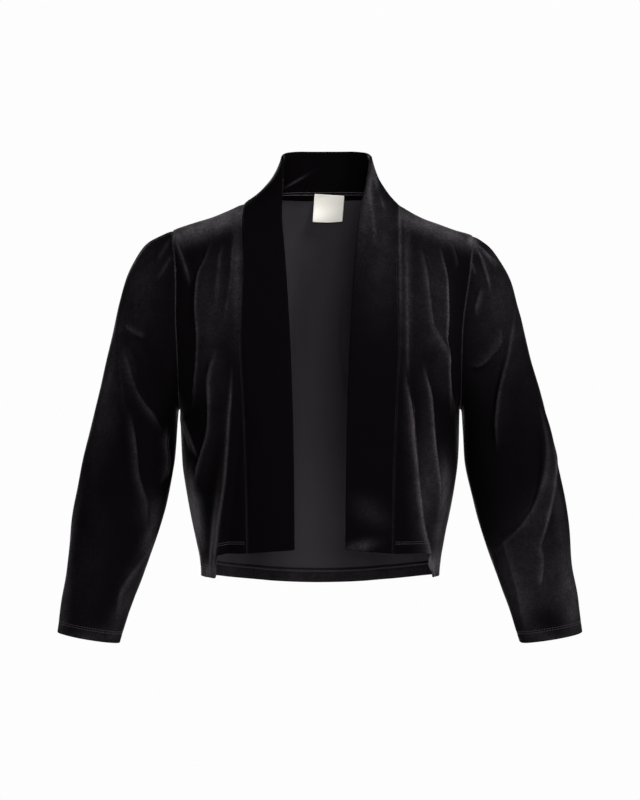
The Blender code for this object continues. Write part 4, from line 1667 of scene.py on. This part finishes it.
@dataclass(frozen=True)
class KnitBacking:
    """Grey-black jersey ground of the velvet: matt, even, with faint upright wales."""

    yarn: str = "#302d30"
    gap: str = "#282528"
    roughness: float = 0.9
    specular: float = 0.15
    wale_mm: float = 2.2
    course_mm: float = 1.6
    unevenness: float = 0.6
    strength: float = 0.4
    relief: float = 0.12

    def build(self) -> bpy.types.Material:
        """Makes the material: wales and courses, drawn two or three times as coarse to show."""
        surface = Surface("charcoal_jersey_backing")
        place = surface.output("UV", "ShaderNodeUVMap", {"uv_map": UV_NAME})
        stripes = []
        for way, pitch in (("X", self.wale_mm), ("Y", self.course_mm)):
            wave = {"bands_direction": way, "Scale": wave_scale(pitch), "Distortion": self.unevenness}
            stripes.append(surface.output("Fac", "ShaderNodeTexWave", wave, {"Vector": place}))
        loops = surface.output(0, "ShaderNodeMath", {"operation": "MULTIPLY"}, dict(enumerate(stripes)))
        surface.colour(self.gap, self.yarn, loops)
        surface.relief(loops, self.strength, self.relief)
        return surface.finished({"Roughness": self.roughness, "Specular IOR Level": self.specular})


@dataclass(frozen=True)
class WovenSatin:
    """Woven label satin: off-white, with a faint sheen across its close warp threads."""

    thread: str = "#e4e1da"
    gap: str = "#d0cdc4"
    roughness: float = 0.55
    specular: float = 0.3
    thread_mm: float = 1.3
    unevenness: float = 0.4
    strength: float = 0.4
    relief: float = 0.08

    def build(self) -> bpy.types.Material:
        """Makes the material: a fine twill line, drawn three times as coarse to show."""
        surface = Surface("white_woven_satin")
        place = surface.output("UV", "ShaderNodeUVMap", {"uv_map": UV_NAME})
        wave = {"bands_direction": "DIAGONAL", "Distortion": self.unevenness}
        wave |= {"Scale": wave_scale(self.thread_mm)}
        twill = surface.output("Fac", "ShaderNodeTexWave", wave, {"Vector": place})
        surface.colour(self.gap, self.thread, twill)
        surface.relief(twill, self.strength, self.relief)
        return surface.finished({"Roughness": self.roughness, "Specular IOR Level": self.specular})


@dataclass(frozen=True)
class SpunThread:
    """Spun thread, or tape woven of it: near-black, with a dull gloss that picks out each stitch."""

    name: str
    light: str
    dark: str
    roughness: float = 0.5
    specular: float = 0.1
    ply_mm: float = 0.5
    detail: float = 1.0

    def build(self) -> bpy.types.Material:
        """Makes the material, its plies showing as a fine change of tone."""
        surface = Surface(self.name)
        place = surface.output("Object", "ShaderNodeTexCoord")
        grain = {"Scale": 1 / (self.ply_mm * MM), "Detail": self.detail}
        plies = surface.output("Fac", "ShaderNodeTexNoise", grain, {"Vector": place})
        surface.colour(self.dark, self.light, plies)
        return surface.finished({"Roughness": self.roughness, "Specular IOR Level": self.specular})


@dataclass(frozen=True)
class PaleFloor:
    """Matt white studio floor, with the faint mottle of rolled paint."""

    light: str = "#f4f3f1"
    shade: str = "#efeeec"
    mottle_mm: float = 60.0
    roughness: float = 0.8

    def build(self) -> bpy.types.Material:
        """Makes the material."""
        surface = Surface("matt_white_paint")
        place = surface.output("Object", "ShaderNodeTexCoord")
        grain = {"Scale": 1 / (self.mottle_mm * MM)}
        mottle = surface.output("Fac", "ShaderNodeTexNoise", grain, {"Vector": place})
        surface.colour(self.shade, self.light, mottle)
        return surface.finished({"Roughness": self.roughness})


@dataclass
class Stitching:
    """Rows of stitches, each a small rounded bar of thread."""

    length: float = 2.5
    pitch: float = 3.3
    width: float = 0.75
    height: float = 0.4
    sides: int = 6
    ends: tuple[tuple[float, float], ...] = ((0.0, 0.45), (0.18, 1.0), (0.82, 1.0), (1.0, 0.45))

    def bar(self, parts: MeshParts, start: Array, end: Array, out: Array) -> None:
        """Adds one stitch.

        Args:
            parts: The mesh that it goes in.
            start: Where the thread comes up.
            end: Where it goes down.
            out: The direction out of the cloth.
        """
        across = unit(np.cross(end - start, out))
        turn = np.linspace(0, 2 * math.pi, self.sides, endpoint=False)
        ring = np.outer(np.cos(turn), across) * self.width / 2 + np.outer(np.sin(turn), out) * self.height
        bar = np.stack([start + (end - start) * place + ring * size for place, size in self.ends])
        numbers = parts.add_points(bar, np.zeros((*bar.shape[:2], 2)))
        parts.add_grid(np.concatenate([numbers, numbers[:, :1]], axis=1))
        for cap in (numbers[0], numbers[-1]):
            parts.faces.append(tuple(int(n) for n in cap))
            parts.wears.append(0)

    def sew(self, parts: MeshParts, line: Array, normals: Array) -> None:
        """Adds a row of straight stitches.

        Args:
            parts: The mesh that they go in.
            line: Points along the row.
            normals: Directions out of the cloth there.
        """
        length = lengths_along(line)
        starts = np.arange(self.pitch / 2, length[-1] - self.length, self.pitch) / length[-1]
        step = self.length / length[-1]
        outs = unit(read_along(normals, length, starts * length[-1]))
        for start, end, out in zip(respaced(line, starts), respaced(line, starts + step), outs):
            self.bar(parts, start, end, out)

    def cover(self, parts: MeshParts, upper: Array, lower: Array, normals: Array) -> None:
        """Adds the zigzag of looper thread that joins two rows on the inside.

        Args:
            parts: The mesh that it goes in.
            upper: Points along the upper row.
            lower: Points along the lower row.
            normals: Directions out of the cloth.
        """
        count = int(lengths_along(upper)[-1] / self.pitch) * 2
        shares = np.linspace(0, 1, count + 1)
        high, low = respaced(upper, shares), respaced(lower, shares)
        outs = normals[np.linspace(0, len(normals) - 1, count + 1).round().astype(int)]
        for i in range(count):
            first, last = (high[i], low[i + 1]) if i % 2 else (low[i], high[i + 1])
            self.bar(parts, first, last, outs[i])

    def hem(self, panel: Panel, thread: bpy.types.Material) -> None:
        """Sews the two rows of a panel's hem.

        Args:
            panel: The panel, draped.
            thread: The thread's material.
        """
        parts = MeshParts()
        for distance in HEM.stitched:
            row = HEM.row_at(distance)
            self.sew(parts, panel.points[row, 1:-1], panel.normals[row, 1:-1])
        parts.build("hem_stitches_" + panel.node, [thread])

    def cover_hem(self, panel: Panel, thread: bpy.types.Material) -> None:
        """Sews the zigzag inside a panel's hem.

        Args:
            panel: The panel, draped.
            thread: The thread's material.
        """
        parts = MeshParts()
        inner = panel.points - panel.normals * panel.hem_wall
        upper, lower = (inner[HEM.row_at(distance), 1:-1] for distance in HEM.covered)
        self.cover(parts, upper, lower, -panel.normals[HEM.row_at(HEM.covered[0]), 1:-1])
        parts.build("cover_stitches_" + panel.node, [thread])


@dataclass
class NeckFinish:
    """The tape over the seam inside the back neck, and the bare label on it."""

    tape_width: float = 12.0
    tape_top: float = 0.6
    tape_wall: float = 0.9
    tape_rows: int = 9
    tape_gap: float = 0.25
    tape_inset: int = 2
    stitch_rows: tuple[float, ...] = (1.0, 4.2)
    stitch_length: float = 2.6
    stitch_pitch: float = 2.9
    stitch_width: float = 1.2
    label_width: float = 37.0
    label_height: float = 34.0
    label_x: float = 10.5
    label_drop: float = 3.4
    label_turn: float = 4.0
    label_wall: float = 0.7
    label_gap: float = 0.3
    label_steps: int = 28
    label_lift: float = 7.0
    label_columns: int = 16
    label_margin: float = 3.0
    margin_steps: int = 6
    seam_clear: float = 0.2

    def strip(self, back: Panel, columns: slice, drops: Array) -> tuple[Array, Array]:
        """Points inside the back neck.

        Args:
            back: The back panel, draped.
            columns: The columns of its grid.
            drops: Distances below the neck seam.

        Returns:
            Points on the inside of the cloth, and the directions inwards.
        """
        inner = back.points - back.normals * back.wall
        lines, inwards = (grid[:, columns].swapaxes(0, 1) for grid in (inner, -back.normals))
        points, ways = [], []
        for line, way in zip(lines, inwards):
            length = lengths_along(line)
            points.append(respaced(line, drops / length[-1]))
            ways.append(read_along(way, length, drops))
        return np.stack(points, axis=1), unit(np.stack(ways, axis=1))

    def panel(self, name: str, node: str, outer: Array, inner_way: Array, wall: float) -> Panel:
        """A flat piece with all its edges folded."""
        borders = dict.fromkeys(Edge, Border.FOLD)
        made = Panel(name, node, outer, 1, borders, hemmed=False, wall=wall)
        made.normals = inner_way
        return made

    def build(self, back: Panel, bodice: Bodice, finishes: dict[str, bpy.types.Material]) -> None:
        """Makes the tape, its stitches and the label.

        Args:
            back: The back panel, draped.
            bodice: The bodice.
            finishes: The materials by name.
        """
        first = bodice.shoulder_columns + self.tape_inset
        columns = slice(first, back.points.shape[1] - first)
        drops = np.linspace(self.tape_top, self.tape_width, self.tape_rows)
        points, ways = self.strip(back, columns, drops)
        face = points + ways * (self.tape_gap + self.tape_wall)
        tape = self.panel("neck_tape_strip", "neck_tape", face, ways, self.tape_wall)
        obj = wall_object(tape, [finishes["tape"], finishes["tape"]])
        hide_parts("neck_tape")
        stitches = MeshParts()
        stitching = Stitching(self.stitch_length, self.stitch_pitch, self.stitch_width)
        for drop in self.stitch_rows:
            line, way = self.strip(back, columns, np.array([drop]))
            raised = line[0] + way[0] * (self.tape_gap + self.tape_wall)
            stitching.sew(stitches, raised, way[0])
        # The neck stitches, paler than the tape, also stand as a painted highlight along the neck seam
        stitches.build("neck_tape_stitches", [finishes["neck_thread"]])
        self.build_label(back, finishes["label"])

    def build_label(self, back: Panel, satin: bpy.types.Material) -> None:
        """Makes the label.

        Args:
            back: The back panel, draped.
            satin: Its material.
        """
        middle = back.points.shape[1] // 2
        columns = slice(middle - self.label_columns, middle + self.label_columns + 1)
        ends = -self.label_margin, self.label_height + self.label_margin
        drops = self.label_drop + np.linspace(*ends, self.label_steps + self.margin_steps)
        points, ways = self.strip(back, columns, np.maximum(drops, self.seam_clear))
        way = unit(ways.mean(axis=(0, 1)))
        turn = math.radians(self.label_turn)
        even = np.linspace(-0.5, 0.5, self.label_steps + 1)
        u, v = np.meshgrid(even * self.label_width, even * self.label_height)
        x = self.label_x + u * math.cos(turn) - v * math.sin(turn)
        drop = self.label_drop + self.label_height / 2 + u * math.sin(turn) + v * math.cos(turn)

        def behind(x: float, drop: float) -> Array:
            """The point of the cloth behind a place on the label."""
            line = np.concatenate([read_along(column, drops, [drop]) for column in points.swapaxes(0, 1)])
            return read_along(line, line[:, 0], [x])[0]

        grid = np.array([[behind(*place) for place in zip(*row)] for row in zip(x, drop)])
        curl = self.label_lift * smooth_step(v / self.label_height + 0.5) ** 2
        stand = self.tape_gap * 2 + self.tape_wall + self.label_wall + self.label_gap
        face = grid + way * (stand + curl)[..., None]
        inwards = np.broadcast_to(way, face.shape)
        label = self.panel("woven_label", "neck_label", face, inwards, self.label_wall)
        obj = wall_object(label, [satin, satin])
        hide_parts("neck_label")


@dataclass
class Lamp:
    """A soft box."""

    name: str
    place: tuple[float, float, float]
    size: float
    power: float
    aim: tuple[float, float, float] = (0.0, 0.0, -0.22)

    def build(self) -> None:
        """Adds the light, turned to what it lights."""
        light = bpy.data.lights.new(self.name, "AREA")
        light.shape = "DISK"
        light.size = self.size
        light.energy = self.power
        obj = bpy.data.objects.new(self.name, light)
        obj.location = self.place
        obj.rotation_euler = (Vector(self.aim) - obj.location).to_track_quat("-Z", "Y").to_euler()
        bpy.context.scene.collection.objects.link(obj)


@dataclass
class Studio:
    """Pale floor far below the worn garment, white surroundings, soft boxes and the camera."""

    floor_drop: float = 1.42
    floor_radius: float = 4.0
    floor_sides: int = 96
    surroundings: float = 0.1
    backdrop: str = "#fdfdfd"
    camera_distance: float = 3.5
    camera_height: float = -0.2172
    frame_height: float = 0.976
    sensor: float = 36.0
    lamps: tuple[Lamp, ...] = (
        Lamp("key_box", (1.5, -1.6, 2.2), 0.9, 120),
        Lamp("fill_box", (-1.9, -2.2, 0.5), 1.4, 14),
        Lamp("front_box", (0.3, -3.4, 0.3), 1.0, 70),
        Lamp("left_strip", (-2.4, 0.6, 0.4), 0.9, 14),
        Lamp("right_strip", (2.4, 0.6, 0.4), 0.9, 16),
        Lamp("back_box", (-0.9, 3.2, 1.5), 1.0, 160),
    )

    def build(self) -> None:
        """Builds the studio."""
        self.build_floor()
        self.build_world()
        for lamp in self.lamps:
            lamp.build()
        self.build_camera()
        bpy.context.scene.view_settings.view_transform = "Standard"

    def build_floor(self) -> None:
        """Lays a round floor."""
        bpy.ops.mesh.primitive_circle_add(
            vertices=self.floor_sides,
            radius=self.floor_radius,
            fill_type="NGON",
            location=(0, 0, -self.floor_drop),
        )
        floor = bpy.context.object
        floor.name = "studio_floor"
        floor.data.materials.append(PaleFloor().build())

    def build_world(self) -> None:
        """Surrounds the scene with white that lights it less than it shows."""
        world = bpy.data.worlds.new("studio_white")
        world.use_nodes = True
        tree = world.node_tree
        shown = tree.nodes["Background"]
        shown.inputs["Color"].default_value = linear(self.backdrop)
        lit = add_node(
            tree, "ShaderNodeBackground", {"Color": linear(self.backdrop), "Strength": self.surroundings}
        )
        path = add_node(tree, "ShaderNodeLightPath")
        mixed = add_node(
            tree,
            "ShaderNodeMixShader",
            links={0: path.outputs["Is Camera Ray"], 1: lit.outputs[0], 2: shown.outputs[0]},
        )
        tree.links.new(mixed.outputs[0], tree.nodes["World Output"].inputs["Surface"])
        bpy.context.scene.world = world

    def build_camera(self) -> None:
        """Places the camera level with the middle of the picture, straight in front."""
        camera = bpy.data.cameras.new("camera")
        camera.sensor_width = self.sensor
        camera.lens = self.sensor * self.camera_distance / self.frame_height
        obj = bpy.data.objects.new("camera", camera)
        obj.location = (0, -self.camera_distance, self.camera_height)
        obj.rotation_euler = (math.pi / 2, 0, 0)
        bpy.context.scene.collection.objects.link(obj)
        bpy.context.scene.camera = obj


def make_finishes() -> dict[str, bpy.types.Material]:
    """Makes the garment's materials.

    Returns:
        The materials by the names of what wears them.
    """
    return {
        "velvet": StretchVelvet().build(),
        "knit": KnitBacking().build(),
        "label": WovenSatin().build(),
        "thread": SpunThread("black_spun_thread", "#3a363a", "#221f22").build(),
        # Charcoal thread paler than the black tape, so its neck stitches are partly a painted highlight;
        # it also sews the zigzag inside the hems
        "neck_thread": SpunThread("charcoal_spun_thread", "#4a474a", "#2d2a2d").build(),
        "tape": SpunThread(
            "black_cotton_tape", "#060506", "#030303", roughness=0.9, specular=0.0, ply_mm=1.2
        ).build(),
    }


def main() -> None:
    """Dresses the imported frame."""
    logging.basicConfig(level=logging.INFO, format="%(message)s")
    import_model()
    finishes = make_finishes()
    form = WornForm()
    bodice = Bodice(form)
    panels = bodice.cut()
    panels |= Sleeves().cut(bodice, panels)
    panels |= Band(form).cut(bodice, panels)
    Drape(form).settle(panels)
    for node, panel in panels.items():
        inside = finishes["velvet"] if node == "band" else finishes["knit"]
        obj = wall_object(panel, [finishes["velvet"], inside])
        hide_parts(node)
        if panel.hemmed:
            Stitching().hem(panel, finishes["thread"])
            Stitching(width=0.9).cover_hem(panel, finishes["neck_thread"])
    NeckFinish().build(panels["back"], bodice, finishes)
    Studio().build()


if __name__ == "__main__":
    main()
